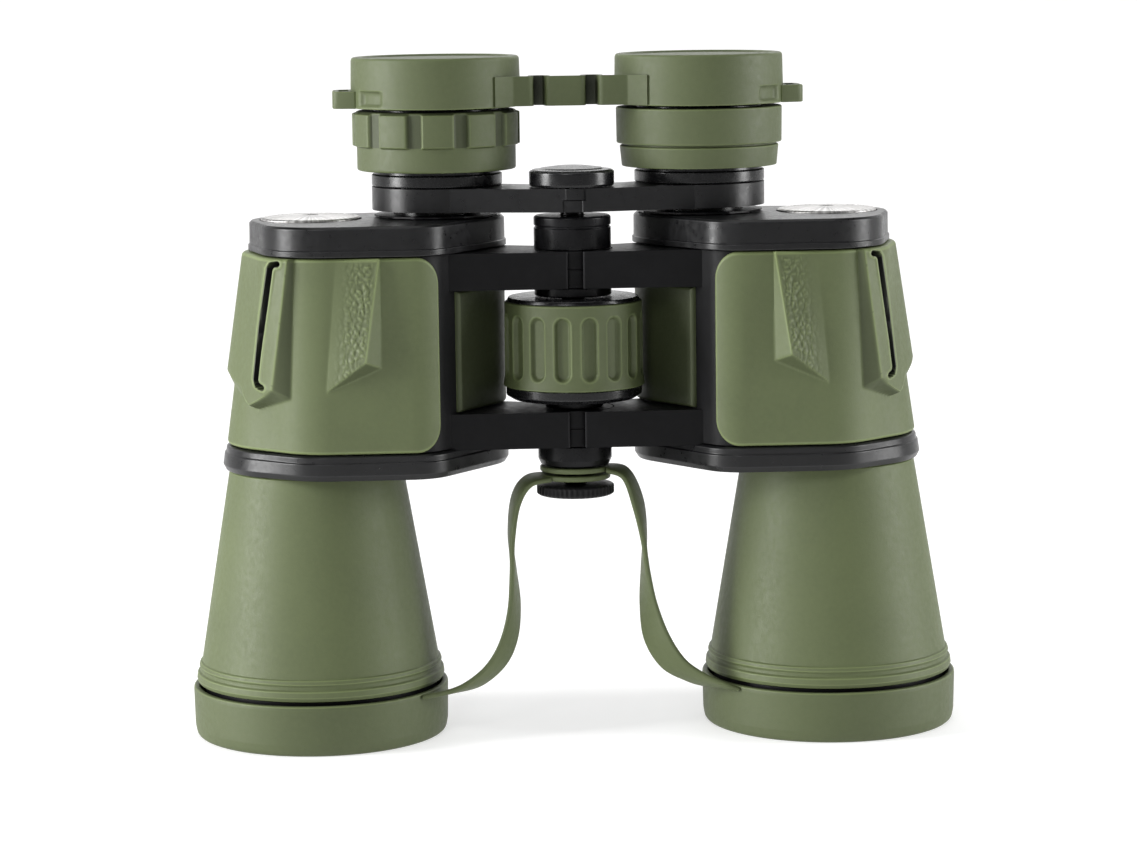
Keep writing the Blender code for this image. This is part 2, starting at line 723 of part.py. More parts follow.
def rainguard_link():
    """The folded web between the two rainguard cups: a flat strip with two deep folds."""
    thick = 1.4 * MM
    route = [(-14.2, 0.4), (-9.8, 0.4), (-9, 4.6), (-7.8, 5.6), (-6.6, 4.6), (-5.8, 0.4)]
    route += [(3.4, 0.4), (4.2, 4.6), (5.4, 5.6), (6.6, 4.6), (7.4, 0.4), (14.2, 0.4)]
    front = [(x * MM, HINGE.y + y * MM - thick / 2) for x, y in route]
    back = []
    for k, (x, y) in enumerate(route):
        x0, y0 = route[max(k - 1, 0)]
        x1, y1 = route[min(k + 1, len(route) - 1)]
        run = Vector((x1 - x0, y1 - y0)).normalized()
        back.append((x * MM - run.y * thick, HINGE.y + y * MM - thick / 2 + run.x * thick))
    return slab("rainguard_link", [*front, *reversed(back)], CUP_LOW + GAP, 168.6 * MM)


def focus_wheel_hub():
    """The spool that turns on the focusing screw, with a flange under and over the grip."""
    core = WHEEL_RADIUS - 2.8 * MM
    profile = (
        (WHEEL_RADIUS - 1.6 * MM, WHEEL_LOW),
        (WHEEL_RADIUS - 0.4 * MM, WHEEL_LOW + 0.8 * MM),
        (WHEEL_RADIUS - 0.4 * MM, GRIP_LOW - GAP),
        (core, GRIP_LOW - GAP),
        (core, GRIP_TOP + GAP),
        (WHEEL_RADIUS - 1 * MM, GRIP_TOP + GAP),
        (WHEEL_RADIUS - 1.4 * MM, WHEEL_TOP),
        (SCREW + GAP, WHEEL_TOP),
        (SCREW + GAP, WHEEL_LOW),
    )
    return turned("focus_wheel_hub", profile, HINGE)


def focus_wheel_grip():
    """The rubber tyre of the focus wheel, with a recessed flute every few degrees."""
    steps = FLUTES * 2
    inner = WHEEL_RADIUS - 2.5 * MM

    def fluted(height, depth, flare):
        points = []
        for k in range(steps):
            turn = 2 * math.pi * k / steps
            radius = WHEEL_RADIUS + flare - (depth if k % 2 else 0)
            points.append((radius * math.cos(turn), radius * math.sin(turn), height))
        return points

    ends = 2.6 * MM
    flare = 0.3 * MM
    loops = [
        fluted(GRIP_LOW, 0, flare),
        fluted(GRIP_LOW + ends, 0, 0),
        fluted(GRIP_LOW + ends + 0.8 * MM, FLUTE_DEPTH, 0),
        fluted(GRIP_TOP - ends - 0.8 * MM, FLUTE_DEPTH, -0.1 * MM),
        fluted(GRIP_TOP - ends, 0, -0.1 * MM),
        fluted(GRIP_TOP, 0, -0.1 * MM),
        circle(inner, GRIP_TOP, steps),
        circle(inner, GRIP_LOW, steps),
    ]
    return loop_solid("focus_wheel_grip", loops, HINGE, ring=True)


def hinge_top_tube():
    """The bush through the upper hinge arms, with a collar under them and a tall one over them."""
    top = 133.5 * MM
    profile = (
        (KNUCKLE, WHEEL_TOP + GAP),
        (KNUCKLE, UPPER_LUG[0] - GAP),
        (PIN, UPPER_LUG[0] - GAP),
        (PIN, UPPER_LUG[1] + GAP),
        (KNUCKLE, UPPER_LUG[1] + GAP),
        (KNUCKLE, top - 0.5 * MM),
        (KNUCKLE - 0.5 * MM, top),
        (SCREW + GAP, top),
        (SCREW + GAP, WHEEL_TOP + GAP),
    )
    return turned("hinge_top_tube", profile, HINGE, SMALL_ROUND)


def hinge_pin():
    """The lower hinge pin, the boss and stub that hold the arms and the neck, bored from both ends."""
    thread = 3.1 * MM
    boss = 7.4 * MM
    profile = (
        (0, 79 * MM),
        (SCREW + GAP, 79 * MM),
        (SCREW + GAP, WHEEL_LOW - GAP),
        (boss, WHEEL_LOW - GAP),
        (boss, LOWER_LUG[1] + GAP),
        (PIN, LOWER_LUG[1] + GAP),
        (PIN, STUB[1]),
        (STUB_RADIUS, STUB[1]),
        (STUB_RADIUS, STUB[0] + 0.6 * MM),
        (STUB_RADIUS - 0.6 * MM, STUB[0]),
        (NECK_RADIUS, STUB[0]),
        (NECK_RADIUS, NECK_LOW),
        (thread, NECK_LOW),
        (thread, 75 * MM),
        (0, 75 * MM),
    )
    return turned("hinge_pin", profile, HINGE, SMALL_ROUND)


def focusing_screw():
    """The screw under the bridge: a thread through the wheel and a shank through the bridge's knuckles."""
    shoulder = 134.6 * MM
    profile = (
        (0, 84 * MM),
        (SCREW, 84 * MM),
        (SCREW, shoulder),
        (SHANK, shoulder),
        (SHANK, BRIDGE[1]),
        (0, BRIDGE[1]),
    )
    return turned("focusing_screw", profile, HINGE, SMALL_ROUND)


def bridge_cap():
    profile = (
        (0, BRIDGE[1] + GAP),
        (DOME_RADIUS, BRIDGE[1] + GAP),
        (DOME_RADIUS, BRIDGE[1] + 3.9 * MM),
        (DOME_RADIUS - 0.8 * MM, 145.1 * MM),
        (DOME_RADIUS - 4 * MM, 145.7 * MM),
        (0, DOME_TOP),
    )
    return turned("bridge_cap", profile, HINGE)


def tripod_cap():
    """The knurled cap over the tripod socket, with a bore for its stud."""
    low, high = TRIPOD_CAP
    steps = 32
    knurl = 0.3 * MM
    inner = TRIPOD_CAP_RADIUS - 0.8 * MM
    bore_low = low + 1 * MM
    loops = [circle(0, low, steps), circle(inner, low, steps)]
    for height in (low + 0.5 * MM, high - 0.5 * MM):
        edge = []
        for k in range(steps):
            turn = 2 * math.pi * k / steps
            radius = TRIPOD_CAP_RADIUS - knurl * (k % 2)
            edge.append((radius * math.cos(turn), radius * math.sin(turn), height))
        loops.append(edge)
    loops += [circle(inner, high, steps), circle(STUD + GAP, high, steps)]
    loops += [circle(STUD + GAP, bore_low, steps), circle(0, bore_low, steps)]
    return loop_solid("tripod_cap", loops, HINGE)


def make_half(side, name, body):
    """The fixed pieces of one half."""
    eye, corner, objective = (place(side, spot) for spot in (EYE, CORNER, OBJECTIVE))
    finish_piece(prism_housing(side, f"{name}_prism_housing"), BLACK_PLASTIC, body)
    finish_piece(body_armour(side, f"{name}_body_armour"), GREEN_RUBBER, body)
    finish_piece(cover_plate(side, f"{name}_cover_plate"), BLACK_PLASTIC, body)
    finish_piece(cover_disc(side, f"{name}_cover_disc"), BRIGHT_METAL, body)
    finish_piece(flange(side, f"{name}_flange"), BLACK_PLASTIC, body)
    finish_piece(objective_tube(side, f"{name}_objective_tube"), BLACK_PLASTIC, body)
    finish_piece(barrel_sleeve(side, f"{name}_barrel_sleeve"), GREEN_RUBBER, body)
    crown = lens(f"{name}_objective_crown", LENS_RADIUS, 13.6 * MM, 15.6 * MM, 2.6 * MM, 1.6 * MM, objective)
    finish_piece(crown, CROWN_GLASS, body)
    flint = lens(f"{name}_objective_flint", LENS_RADIUS, 16 * MM, 21.6 * MM, -1.6 * MM, -0.8 * MM, objective)
    finish_piece(flint, CLEAR_GLASS, body)
    retainer = tube(f"{name}_lens_retainer", LENS_RADIUS, 23 * MM, 10.4 * MM, 13.2 * MM, objective)
    finish_piece(retainer, BLACK_METAL, body)
    upper = (102 * MM, 119 * MM)
    lower = (98 * MM, 82 * MM)
    finish_piece(prism(f"{name}_upper_prism", objective, corner, 15 * MM, *upper), CLEAR_GLASS, body)
    finish_piece(prism(f"{name}_lower_prism", corner, eye, 14 * MM, *lower), CLEAR_GLASS, body)
    finish_piece(prism_shelf(side, f"{name}_prism_shelf"), BLACK_METAL, body)
    clip = prism_clip(f"{name}_prism_clip", objective, corner, 101.6 * MM, upper[1])
    finish_piece(clip, SPRING_STEEL, body)
    finish_piece(eyepiece_guide(side, f"{name}_eyepiece_guide"), BLACK_METAL, body)


def make_eyepiece(side, name, bridge, turning, cell):
    """One eyepiece: the pieces on the bridge, the ring that may turn, and the lens cell that it moves."""
    eye = place(side, EYE)
    finish_piece(bridge_arm(side, f"{name}_bridge_arm"), BLACK_PLASTIC, bridge)
    finish_piece(eyepiece_tube(side, f"{name}_eyepiece_tube"), BLACK_PLASTIC, bridge)
    field = lens(f"{name}_field_lens", 9.1 * MM, 114 * MM, 116 * MM, 1.2 * MM, 1.2 * MM, eye)
    finish_piece(field, CLEAR_GLASS, bridge)
    ring_name = "dioptre_ring" if side < 0 else "right_eyepiece_ring"
    finish_piece(grip_ring(side, ring_name, PADS if side < 0 else 0), GREEN_RUBBER, turning)
    holder = tube(f"{name}_lens_cell", 14 * MM, 12.1 * MM, 150 * MM, 157.4 * MM, eye)
    finish_piece(holder, BLACK_METAL, cell)
    glass = lens(f"{name}_eye_lens", 11.8 * MM, 152.4 * MM, 154.4 * MM, 1 * MM, 1 * MM, eye)
    finish_piece(glass, CLEAR_GLASS, cell)
    finish_piece(eyecup(side, f"{name}_eyecup"), BLACK_RUBBER, bridge)


def make_all():
    clear_scene()
    left_half = body_empty("left_half_axis", HINGE)
    right_half = body_empty("fold_axis", HINGE, left_half)
    wheel = body_empty("focus_turn_axis", HINGE, left_half)
    left_bridge = body_empty("focus_travel_axis", HINGE, left_half)
    right_bridge = body_empty("bridge_fold_axis", HINGE, left_bridge)
    dioptre = body_empty("dioptre_turn_axis", place(-1, EYE), left_bridge)
    left_cell = body_empty("lens_cell_axis", place(-1, EYE), left_bridge)
    left_guard = body_empty("rainguard_lift_axis", place(-1, EYE), left_bridge)
    right_guard = body_empty("rainguard_fold_axis", HINGE, left_guard)
    left_cap = body_empty("left_cap_axis", place(-1, OBJECTIVE), left_half)
    right_cap = body_empty("right_cap_axis", place(1, OBJECTIVE), right_half)
    stud_body = body_empty("tripod_stud_axis", HINGE, left_half)
    knob_body = body_empty("tripod_cap_axis", HINGE, stud_body)

    make_half(-1, "left", left_half)
    make_half(1, "right", right_half)
    make_eyepiece(-1, "left", left_bridge, dioptre, left_cell)
    make_eyepiece(1, "right", right_bridge, right_bridge, right_bridge)

    finish_piece(hinge_top_tube(), BLACK_METAL, left_half)
    finish_piece(hinge_pin(), BLACK_METAL, left_half)
    finish_piece(focusing_screw(), BLACK_METAL, left_bridge)
    finish_piece(bridge_cap(), BLACK_PLASTIC, left_bridge)
    finish_piece(focus_wheel_hub(), BLACK_PLASTIC, wheel)
    finish_piece(focus_wheel_grip(), GREEN_RUBBER, wheel)

    stud = rod("tripod_stud", STUD, TRIPOD_CAP[0] + 1.3 * MM, 74 * MM, HINGE)
    finish_piece(stud, BLACK_METAL, stud_body)
    finish_piece(tripod_cap(), BLACK_PLASTIC, knob_body)

    finish_piece(objective_cap(-1, "left_objective_cap"), GREEN_RUBBER, left_cap)
    finish_piece(objective_cap(1, "right_objective_cap"), GREEN_RUBBER, right_cap)
    finish_piece(cap_strap(-1, "left_cap_strap"), GREEN_RUBBER, left_half)
    finish_piece(cap_strap(1, "right_cap_strap"), GREEN_RUBBER, right_half)
    finish_piece(rainguard_cup(-1, "left_rainguard_cup"), GREEN_RUBBER, left_guard)
    finish_piece(rainguard_cup(1, "right_rainguard_cup"), GREEN_RUBBER, right_guard)
    finish_piece(rainguard_link(), GREEN_RUBBER, left_guard)


make_all()
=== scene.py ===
"""Looks of the binoculars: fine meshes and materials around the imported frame, a floor, lights and a camera.

Shapes are worked out in millimetres, +Z up, in the frame's own axes, and become metres in their meshes. Each
half is drawn once, for a side of -1 (left) or +1 (right), and its plan is measured from the hinge."""

import math

import bmesh
import bpy
import numpy as np
from mathutils import Matrix, Vector, noise
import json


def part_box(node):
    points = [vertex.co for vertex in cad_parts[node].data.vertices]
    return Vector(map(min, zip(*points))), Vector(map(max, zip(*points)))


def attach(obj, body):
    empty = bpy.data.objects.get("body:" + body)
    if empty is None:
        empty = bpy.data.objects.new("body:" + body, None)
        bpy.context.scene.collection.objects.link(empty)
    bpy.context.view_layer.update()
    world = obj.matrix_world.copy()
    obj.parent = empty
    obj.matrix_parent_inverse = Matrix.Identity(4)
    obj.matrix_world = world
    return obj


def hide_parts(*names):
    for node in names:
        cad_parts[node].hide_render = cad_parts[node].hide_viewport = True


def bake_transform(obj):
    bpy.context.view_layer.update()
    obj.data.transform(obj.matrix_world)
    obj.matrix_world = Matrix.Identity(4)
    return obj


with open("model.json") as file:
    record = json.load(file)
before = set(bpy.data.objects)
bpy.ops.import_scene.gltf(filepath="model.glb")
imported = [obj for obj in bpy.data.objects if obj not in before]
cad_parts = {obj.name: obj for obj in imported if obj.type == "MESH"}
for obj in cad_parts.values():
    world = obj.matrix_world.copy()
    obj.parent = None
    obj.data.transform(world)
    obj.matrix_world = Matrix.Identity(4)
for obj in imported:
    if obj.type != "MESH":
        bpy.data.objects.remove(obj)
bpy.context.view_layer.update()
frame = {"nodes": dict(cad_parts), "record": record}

MM = 0.001
LEFT, RIGHT = -1, 1
SIDES = ((LEFT, "left"), (RIGHT, "right"))


def centre(node):
    low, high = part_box(node)
    return (low + high) / 2 / MM


def levels(node):
    low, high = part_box(node)
    return low.z / MM, high.z / MM


def half_width(node):
    low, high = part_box(node)
    return (high.x - low.x) / 2 / MM


# Plan, from the frame.
HINGE = centre("bridge_cap")
EYE = centre("right_eyecup") - HINGE
OBJECTIVE = centre("right_objective_cap") - HINGE

# The body's plan outline is the taut loop round four circles. The outer one shrinks up to the cover.
CIRCLE_STEPS = 40
BODY_LOW, BODY_TOP = levels("right_body_armour")
FLANGE_LOW, FLANGE_TOP = levels("right_flange")
COVER_LOW, COVER_TOP = levels("right_cover_plate")
EYE_CIRCLE = 17.3
OUTER_CIRCLE_LOW = 24
OUTER_CIRCLE_TOP = 15.9
FRONT_CIRCLES = ((42, -8, 12), (62, -3, 17))
STRIP = (29, 34)
LOWER_ARM = (75.4, 84.5)
UPPER_ARM = (115.7, 125)
ARM_FRONT = -11.5
SEAM = 1.9
KNUCKLE = 9.8
TIP = 0.3
# How far a joined piece stays below the face it lies flush with, since shared planes spoil a union.
FLUSH = 0.02

ARMOUR_FACE = -0.4
ARMOUR_BACK = -2.8
HOUSING_FACE = -1.7


# ---------------------------------------------------------------- meshes

def new_object(name, mesh):
    piece = bpy.data.objects.new(name, mesh)
    bpy.context.scene.collection.objects.link(piece)
    return piece


def finish_mesh(piece, sharp=40):
    """Welds doubled points, turns the faces outward and shades the piece smooth."""
    shape = bmesh.new()
    shape.from_mesh(piece.data)
    bmesh.ops.remove_doubles(shape, verts=shape.verts, dist=0.002 * MM)
    bmesh.ops.recalc_face_normals(shape, faces=shape.faces)
    shape.to_mesh(piece.data)
    shape.free()
    piece.data.shade_smooth()
    piece.data.set_sharp_from_angle(angle=math.radians(sharp))
    return piece


def quads(rows, columns, wrap):
    """The quads of a grid of points, row by row."""
    faces = []
    for r in range(rows - 1):
        for c in range(columns if wrap else columns - 1):
            d = (c + 1) % columns
            faces.append((r * columns + c, r * columns + d, (r + 1) * columns + d, (r + 1) * columns + c))
    return faces


def loops_solid(name, loops, ring=False, sharp=40):
    """A solid through loops of points with equal counts, closed by end faces or joined end to end."""
    rows, columns = len(loops), len(loops[0])
    points = [point for loop in loops for point in loop]
    faces = quads(rows, columns, True)
    last = (rows - 1) * columns
    if ring:
        for c in range(columns):
            d = (c + 1) % columns
            faces.append((last + c, last + d, d, c))
    else:
        faces.append(tuple(range(columns)))
        faces.append(tuple(range(last, last + columns)))
    mesh = bpy.data.meshes.new(name)
    mesh.from_pydata([(x * MM, y * MM, z * MM) for x, y, z in points], [], faces)
    return finish_mesh(new_object(name, mesh), sharp)


def wheel(name, at, rows, steps, ring=True, sharp=40):
    """A solid through level loops round a place, from (radius, height) rows. A radius is one number, or an
    array with one for each step."""
    turns = 2 * math.pi * np.arange(steps) / steps
    across, along = np.cos(turns), np.sin(turns)
    loops = []
    for radius, height in rows:
        loops.append([(x, y, height) for x, y in zip(at.x + radius * across, at.y + radius * along)])
    return loops_solid(name, loops, ring, sharp)


def rounded(corners, closed=True):
    """A polygon's points with its corners rounded. A corner is (x, y) or (x, y, radius)."""
    steps = 5
    points = []
    count = len(corners)
    for k, (x, y, *radius) in enumerate(corners):
        inner = closed or 0 < k < count - 1
        here = Vector((x, y))
        if not radius or not inner:
            points.append(here)
            continue
        before = Vector(corners[k - 1][:2]) - here
        after = Vector(corners[(k + 1) % count][:2]) - here
        bend = before.angle(after)
        reach = min(radius[0] / math.tan(bend / 2), 0.49 * before.length, 0.49 * after.length)
        start, end = here + before.normalized() * reach, here + after.normalized() * reach
        for step in range(steps + 1):
            t = step / steps
            points.append(start * (1 - t) ** 2 + here * 2 * t * (1 - t) + end * t**2)
    return [(p.x, p.y) for p in points]


def held(points, closed):
    """The line with a point just beside each end of its long stretches, which keeps smooth shading flat."""
    near, long = 0.12, 0.8
    out = []
    for k, (x, y) in enumerate(points):
        here = Vector((x, y))
        out.append((x, y))
        if k == len(points) - 1 and not closed:
            break
        following = Vector(points[(k + 1) % len(points)])
        run = following - here
        if run.length > long:
            step = run.normalized() * near
            out.append(tuple(here + step))
            out.append(tuple(following - step))
    return out


def turned(name, corners, at, steps=128):
    """A turned solid about the vertical through a point, from a (radius, height, rounding) profile that runs
    from one end of the axis to the other, or round a closed loop where none of it is on the axis. An end on
    the axis becomes a tiny flat, which shades evenly."""
    ring = all(corner[0] > 0 for corner in corners)
    rows = [(max(radius, TIP), height) for radius, height in held(rounded(corners, closed=ring), ring)]
    return wheel(name, at, rows, steps, ring)


def applied(piece):
    """The piece with its modifiers made part of its mesh."""
    bpy.context.view_layer.update()
    graph = bpy.context.evaluated_depsgraph_get()
    mesh = bpy.data.meshes.new_from_object(piece.evaluated_get(graph))
    piece.modifiers.clear()
    piece.data = mesh
    return piece


def bevelled(piece, width):
    bevel = piece.modifiers.new("bevel", "BEVEL")
    bevel.width = width * MM
    bevel.segments = 3
    bevel.limit_method = "ANGLE"
    bevel.angle_limit = math.radians(38)
    bevel.harden_normals = True
    bevel.use_clamp_overlap = True
    return applied(piece)


def combined(piece, tool, operation):
    change = piece.modifiers.new("combine", "BOOLEAN")
    change.operation = operation
    change.object = tool
    applied(piece)
    bpy.data.objects.remove(tool)
    return piece


def slab(name, edge, low, high):
    return loops_solid(name, [[(x, y, height) for x, y in edge] for height in (low, high)])


def bar(name, radius, low, high, at, steps=96):
    """A plain cylinder. Its ends are single faces, which cut and join cleanly."""
    turns = 2 * math.pi * np.arange(steps) / steps
    return slab(name, list(zip(at.x + radius * np.cos(turns), at.y + radius * np.sin(turns))), low, high)


def place(side, spot):
    return Vector((side * spot.x, HINGE.y + spot.y, 0))


def plan(side, points, at=HINGE):
    """Plan points of a half, measured from a place, in the frame. A third value is kept as a rounding."""
    return [(at.x + side * x, at.y + y, *more) for x, y, *more in points]


# ---------------------------------------------------------------- the body's outline

def body_circles(height):
    level = min((height - FLANGE_LOW) / (BODY_TOP - FLANGE_LOW), 1)
    outer = OUTER_CIRCLE_LOW + level * (OUTER_CIRCLE_TOP - OUTER_CIRCLE_LOW)
    return [*FRONT_CIRCLES, (OBJECTIVE.x, OBJECTIVE.y, outer), (EYE.x, EYE.y, EYE_CIRCLE)]


def tangent_angle(first, second):
    """The direction that the line touching two circles faces, with both on its left."""
    (x0, y0, r0), (x1, y1, r1) = first, second
    along = math.atan2(y1 - y0, x1 - x0)
    return along - math.pi / 2 + math.asin((r0 - r1) / math.hypot(x1 - x0, y1 - y0))


def outline(height, grow=0.0):
    """Arrays of x, y, facing angle and length so far along the body's loop at a height. It starts and ends
    on the line from the eyepiece's circle to the first front circle."""
    circles = body_circles(height)
    rows = []
    turn = tangent_angle(circles[-1], circles[0])
    start = turn
    for k, (x, y, radius) in enumerate(circles):
        following = tangent_angle(circles[k], circles[(k + 1) % len(circles)])
        while following < turn:
            following += 2 * math.pi
        for angle in np.linspace(turn, following, CIRCLE_STEPS):
            reach = radius + grow
            rows.append((x + reach * math.cos(angle), y + reach * math.sin(angle), angle))
        turn = following
    rows.append((*rows[0][:2], start + 2 * math.pi))
    table = np.array(rows)
    length = np.concatenate([[0], np.cumsum(np.hypot(*np.diff(table[:, :2], axis=0).T))])
    return table[:, 0], table[:, 1], table[:, 2], length


def body_loop(side, height, grow):
    """Evenly spaced points of the body's loop at a height, in the frame."""
    count = 220
    x, y, _, length = outline(height, grow)
    spots = np.linspace(0, length[-1], count, endpoint=False)
    across, along = np.interp(spots, length, x), np.interp(spots, length, y)
    return [(side * a, HINGE.y + b, height) for a, b in zip(across, along)]


def body_stack(name, side, profile):
    """A solid that follows the body's outline, from a (grow, height, rounding) profile."""
    rows = held(rounded(profile, closed=False), False)
    return loops_solid(name, [body_loop(side, height, grow) for grow, height in rows])


# ---------------------------------------------------------------- the rubber armour

PANEL_CORNER = 7
EDGE_ROLL = 0.9
SLOT_HALF = 0.55
SLOT_PATH = ((73.5, 123.8), (74.6, 123.5), (75.1, 122.6), (78.3, 94.4), (77.9, 93.1), (76.8, 92.6))
RIDGE_TIP = (53, 99.4)
RIDGE_FOOT = ((49.2, 97.6), (63, 91.6))
CRISP = 0.15
PEBBLE = 1.3
PEBBLE_RISE = 0.3
# q on the armour is x across the front, and goes on along the surface from here round the outer end.
TURN_AWAY = 81
# q between the thumb ridge and the strap lug.
BETWEEN = 66


def leaning(height, top, low):
    """Across-place of a nearly upright line at a height, from its (x, z) ends."""
    share = np.clip((top[1] - height) / (top[1] - low[1]), 0, 1.1)
    return top[0] + share * (low[0] - top[0])


def ridge_base(height):
    return leaning(height, (48.9, 125), (49.2, 97.6))


def ridge_crest(height):
    return leaning(height, (49.4, 124), (53, 99.4))


def ridge_end(height):
    return leaning(height, (60, 124), (63, 92))


def wedge_base(height):
    return leaning(height, (70.4, 125), (72, 89.5))


def wedge_crest(height):
    return leaning(height, (71.2, 125), (74.6, 92))


def slot_line(height):
    return leaning(height, SLOT_PATH[2], SLOT_PATH[3])


def smooth_min(first, *others):
    """The least of some arrays, with the corners between them rounded a little."""
    out = first
    for other in others:
        h = np.clip(0.5 + 0.5 * (other - out) / CRISP, 0, 1)
        out = other * (1 - h) + out * h - CRISP * h * (1 - h)
    return out


def smooth_step(low, high, value):
    t = np.clip((value - low) / (high - low), 0, 1)
    return t * t * (3 - 2 * t)


def slot_distance(x, z):
    """Distance of points to the slot's middle line."""
    best = np.full(x.shape, np.inf)
    for (x0, z0), (x1, z1) in zip(SLOT_PATH, SLOT_PATH[1:]):
        dx, dz = x1 - x0, z1 - z0
        t = np.clip(((x - x0) * dx + (z - z0) * dz) / (dx * dx + dz * dz), 0, 1)
        best = np.minimum(best, np.hypot(x - x0 - t * dx, z - z0 - t * dz))
    return best


def thumb_ridge(x, z):
    """How far the thumb ridge stands out, and how much of that is its bottom facet, which gets painted shade.
    It also has an inner facet and a long outer face."""
    rise = np.interp(z, (99.2, 125), (4, 1.2))
    base, crest, end = ridge_base(z), ridge_crest(z), ridge_end(z)
    inner = rise * (x - base) / (crest - base)
    outer = rise * (end - x) / (end - crest)
    (x0, z0), (x1, z1) = RIDGE_FOOT
    foot = z0 + (x - x0) / (x1 - x0) * (z1 - z0)
    foot_at_tip = z0 + (RIDGE_TIP[0] - x0) / (x1 - x0) * (z1 - z0)
    bottom = 4 * (z - foot) / (RIDGE_TIP[1] - foot_at_tip)
    rise = np.maximum(smooth_min(inner, outer, bottom), 0)
    return rise, (bottom < np.minimum(inner, outer)) * smooth_step(0.05, 0.3, rise)


def strap_wedge(q, z, back):
    """How far the strap lug stands out, and how much of that is its inner or bottom facet, which gets painted
    shade.
    """
    front_rise = np.interp(z, (92, 125), (3.3, 1.8))
    side_rise = np.interp(z, (92, 125), (2.3, 2.1))
    rise = front_rise + (side_rise - front_rise) * smooth_step(76, 88, q)
    base, crest = wedge_base(z), wedge_crest(z)
    inner = rise * (q - base) / (crest - base)
    foot = np.interp(q, (72, 80.5, 92, 110), (89.8, 86.4, 91, 91))
    bottom = (z - foot) * np.interp(q, (74.6, 80.5, 84), (0.95, 2.5, 0.6))
    rear = (back - q) * 0.35
    proud = np.maximum(smooth_min(inner, rise, bottom, rear), 0)
    facet = np.minimum(inner, bottom) < rise
    return proud, facet * smooth_step(0.05, 0.3, proud) * (q < TURN_AWAY + 2)


def armour_columns(height):
    """Places of the armour's columns along the loop at a height, their q, and the q where the lug ends."""
    x, _, angle, length = outline(height)
    leftmost, rightmost = int(np.argmin(x[:CIRCLE_STEPS])), int(np.argmax(x))
    front = slice(leftmost, rightmost)

    def at_x(value):
        return float(np.interp(value, x[front], length[front]))

    # The armour starts and ends at the two edges of the strip; the inner one is on the loop's last line.
    first, last = at_x(STRIP[1]), float(np.interp(STRIP[0], x[-2:], length[-2:]))
    slot = slot_line(height)
    back_line = 3 * CIRCLE_STEPS
    stops = [
        (first, 0), (first + 1, 7), (at_x(43), 22), (at_x(ridge_base(height)), 14),
        (at_x(ridge_crest(height)), 10), (at_x(ridge_end(height)), 44), (at_x(wedge_base(height)), 20),
        (at_x(wedge_crest(height)), 10), (at_x(slot - 2), 6), (at_x(slot + 1.3), 30), (at_x(TURN_AWAY), 12),
        (float(np.interp(0.75, angle, length)), 70), (float(length[back_line - 1]), 20),
        (float(length[back_line]), 24), (float(np.interp(3.2, angle, length)), 50), (last - 1, 40),
        (last, 7),
    ]
    spots = [stops[0][0]]
    for (begin, _), (end, count) in zip(stops, stops[1:]):
        spots += list(np.linspace(begin, end, count + 1)[1:])
    spots = np.array(spots)
    outward = at_x(TURN_AWAY)
    q = np.where(spots < outward, np.interp(spots, length, x), TURN_AWAY + spots - outward)
    q = np.where(spots < length[leftmost], 0, q)
    back = TURN_AWAY + float(np.interp(0.9, angle, length)) - outward
    return spots, q, back


def armour_limits(spots, total):
    """The armour's lowest and highest edge along the loop: full height, rounded at its front end, and
    narrowed between the hinge arms round the inner tip."""
    from_start = spots - spots[0]
    near = np.clip(PANEL_CORNER - from_start, 0, None)
    dip = PANEL_CORNER - np.sqrt(PANEL_CORNER**2 - near**2)
    low, high = BODY_LOW + dip, BODY_TOP - dip
    arms = smooth_step(total - 40.5, total - 39.3, spots)
    low += arms * (LOWER_ARM[1] + 0.35 - BODY_LOW)
    high += arms * (UPPER_ARM[0] - 0.35 - BODY_TOP)
    return low, high


def armour_face(z, q, back, border):
    """(offset outward, how pebbled, how far in the slot, which is painted near black as shade, how pale, how
    much painted shade the inward and bottom facets get) over the armour.
    """
    ridge, ridge_facet = thumb_ridge(q, z)
    wedge, wedge_facet = strap_wedge(q, z, back)
    proud = np.where(q > BETWEEN, wedge, np.where(q > 0, ridge, 0))
    # Painted shade: the inner and bottom facets of the lug and the thumb ridge are marked to be darkened, as
    # if they faced away from the lamps.
    shaded = np.where(q > BETWEEN, 0.5 * wedge_facet, 0.4 * ridge_facet)
    crest, end = ridge_crest(z), ridge_end(z)
    pebbled = smooth_step(crest + 0.2, crest + 0.9, q)
    pebbled *= 1 - smooth_step(crest + 3, end, q)
    pebbled *= smooth_step(0.02, 0.3, ridge) * smooth_step(0.8, 1.8, border)
    pebbled *= 1 - ridge_facet
    roll = np.clip(EDGE_ROLL - border, 0, EDGE_ROLL)
    offset = ARMOUR_FACE + proud - (EDGE_ROLL - np.sqrt(EDGE_ROLL**2 - roll**2))
    slot = slot_distance(q, z)
    lip = np.clip(1 - np.abs(slot - SLOT_HALF - 0.45) / (0.45), 0, 1)
    offset += 0.28 * lip**2 * (3 - 2 * lip)
    cut = 1 - smooth_step(SLOT_HALF - 0.1, SLOT_HALF + 0.08, slot)
    near_crest = np.minimum(np.abs(q - crest) + (z < RIDGE_TIP[1]), np.abs(q - wedge_crest(z)) + (z < 92))
    pale = np.maximum(lip, 1 - smooth_step(0.5, 1, border))
    pale = np.maximum(pale, 0.8 * (1 - smooth_step(0.1, 0.45, near_crest)))
    # Painted shade: the inside of the slot is marked to be painted near black, standing in for its deep
    # shadow.
    painted_slot_shade = 1 - smooth_step(SLOT_HALF + 0.08, SLOT_HALF + 0.25, slot)
    return offset * (1 - cut) + (ARMOUR_BACK + 0.3) * cut, pebbled, painted_slot_shade, pale, shaded


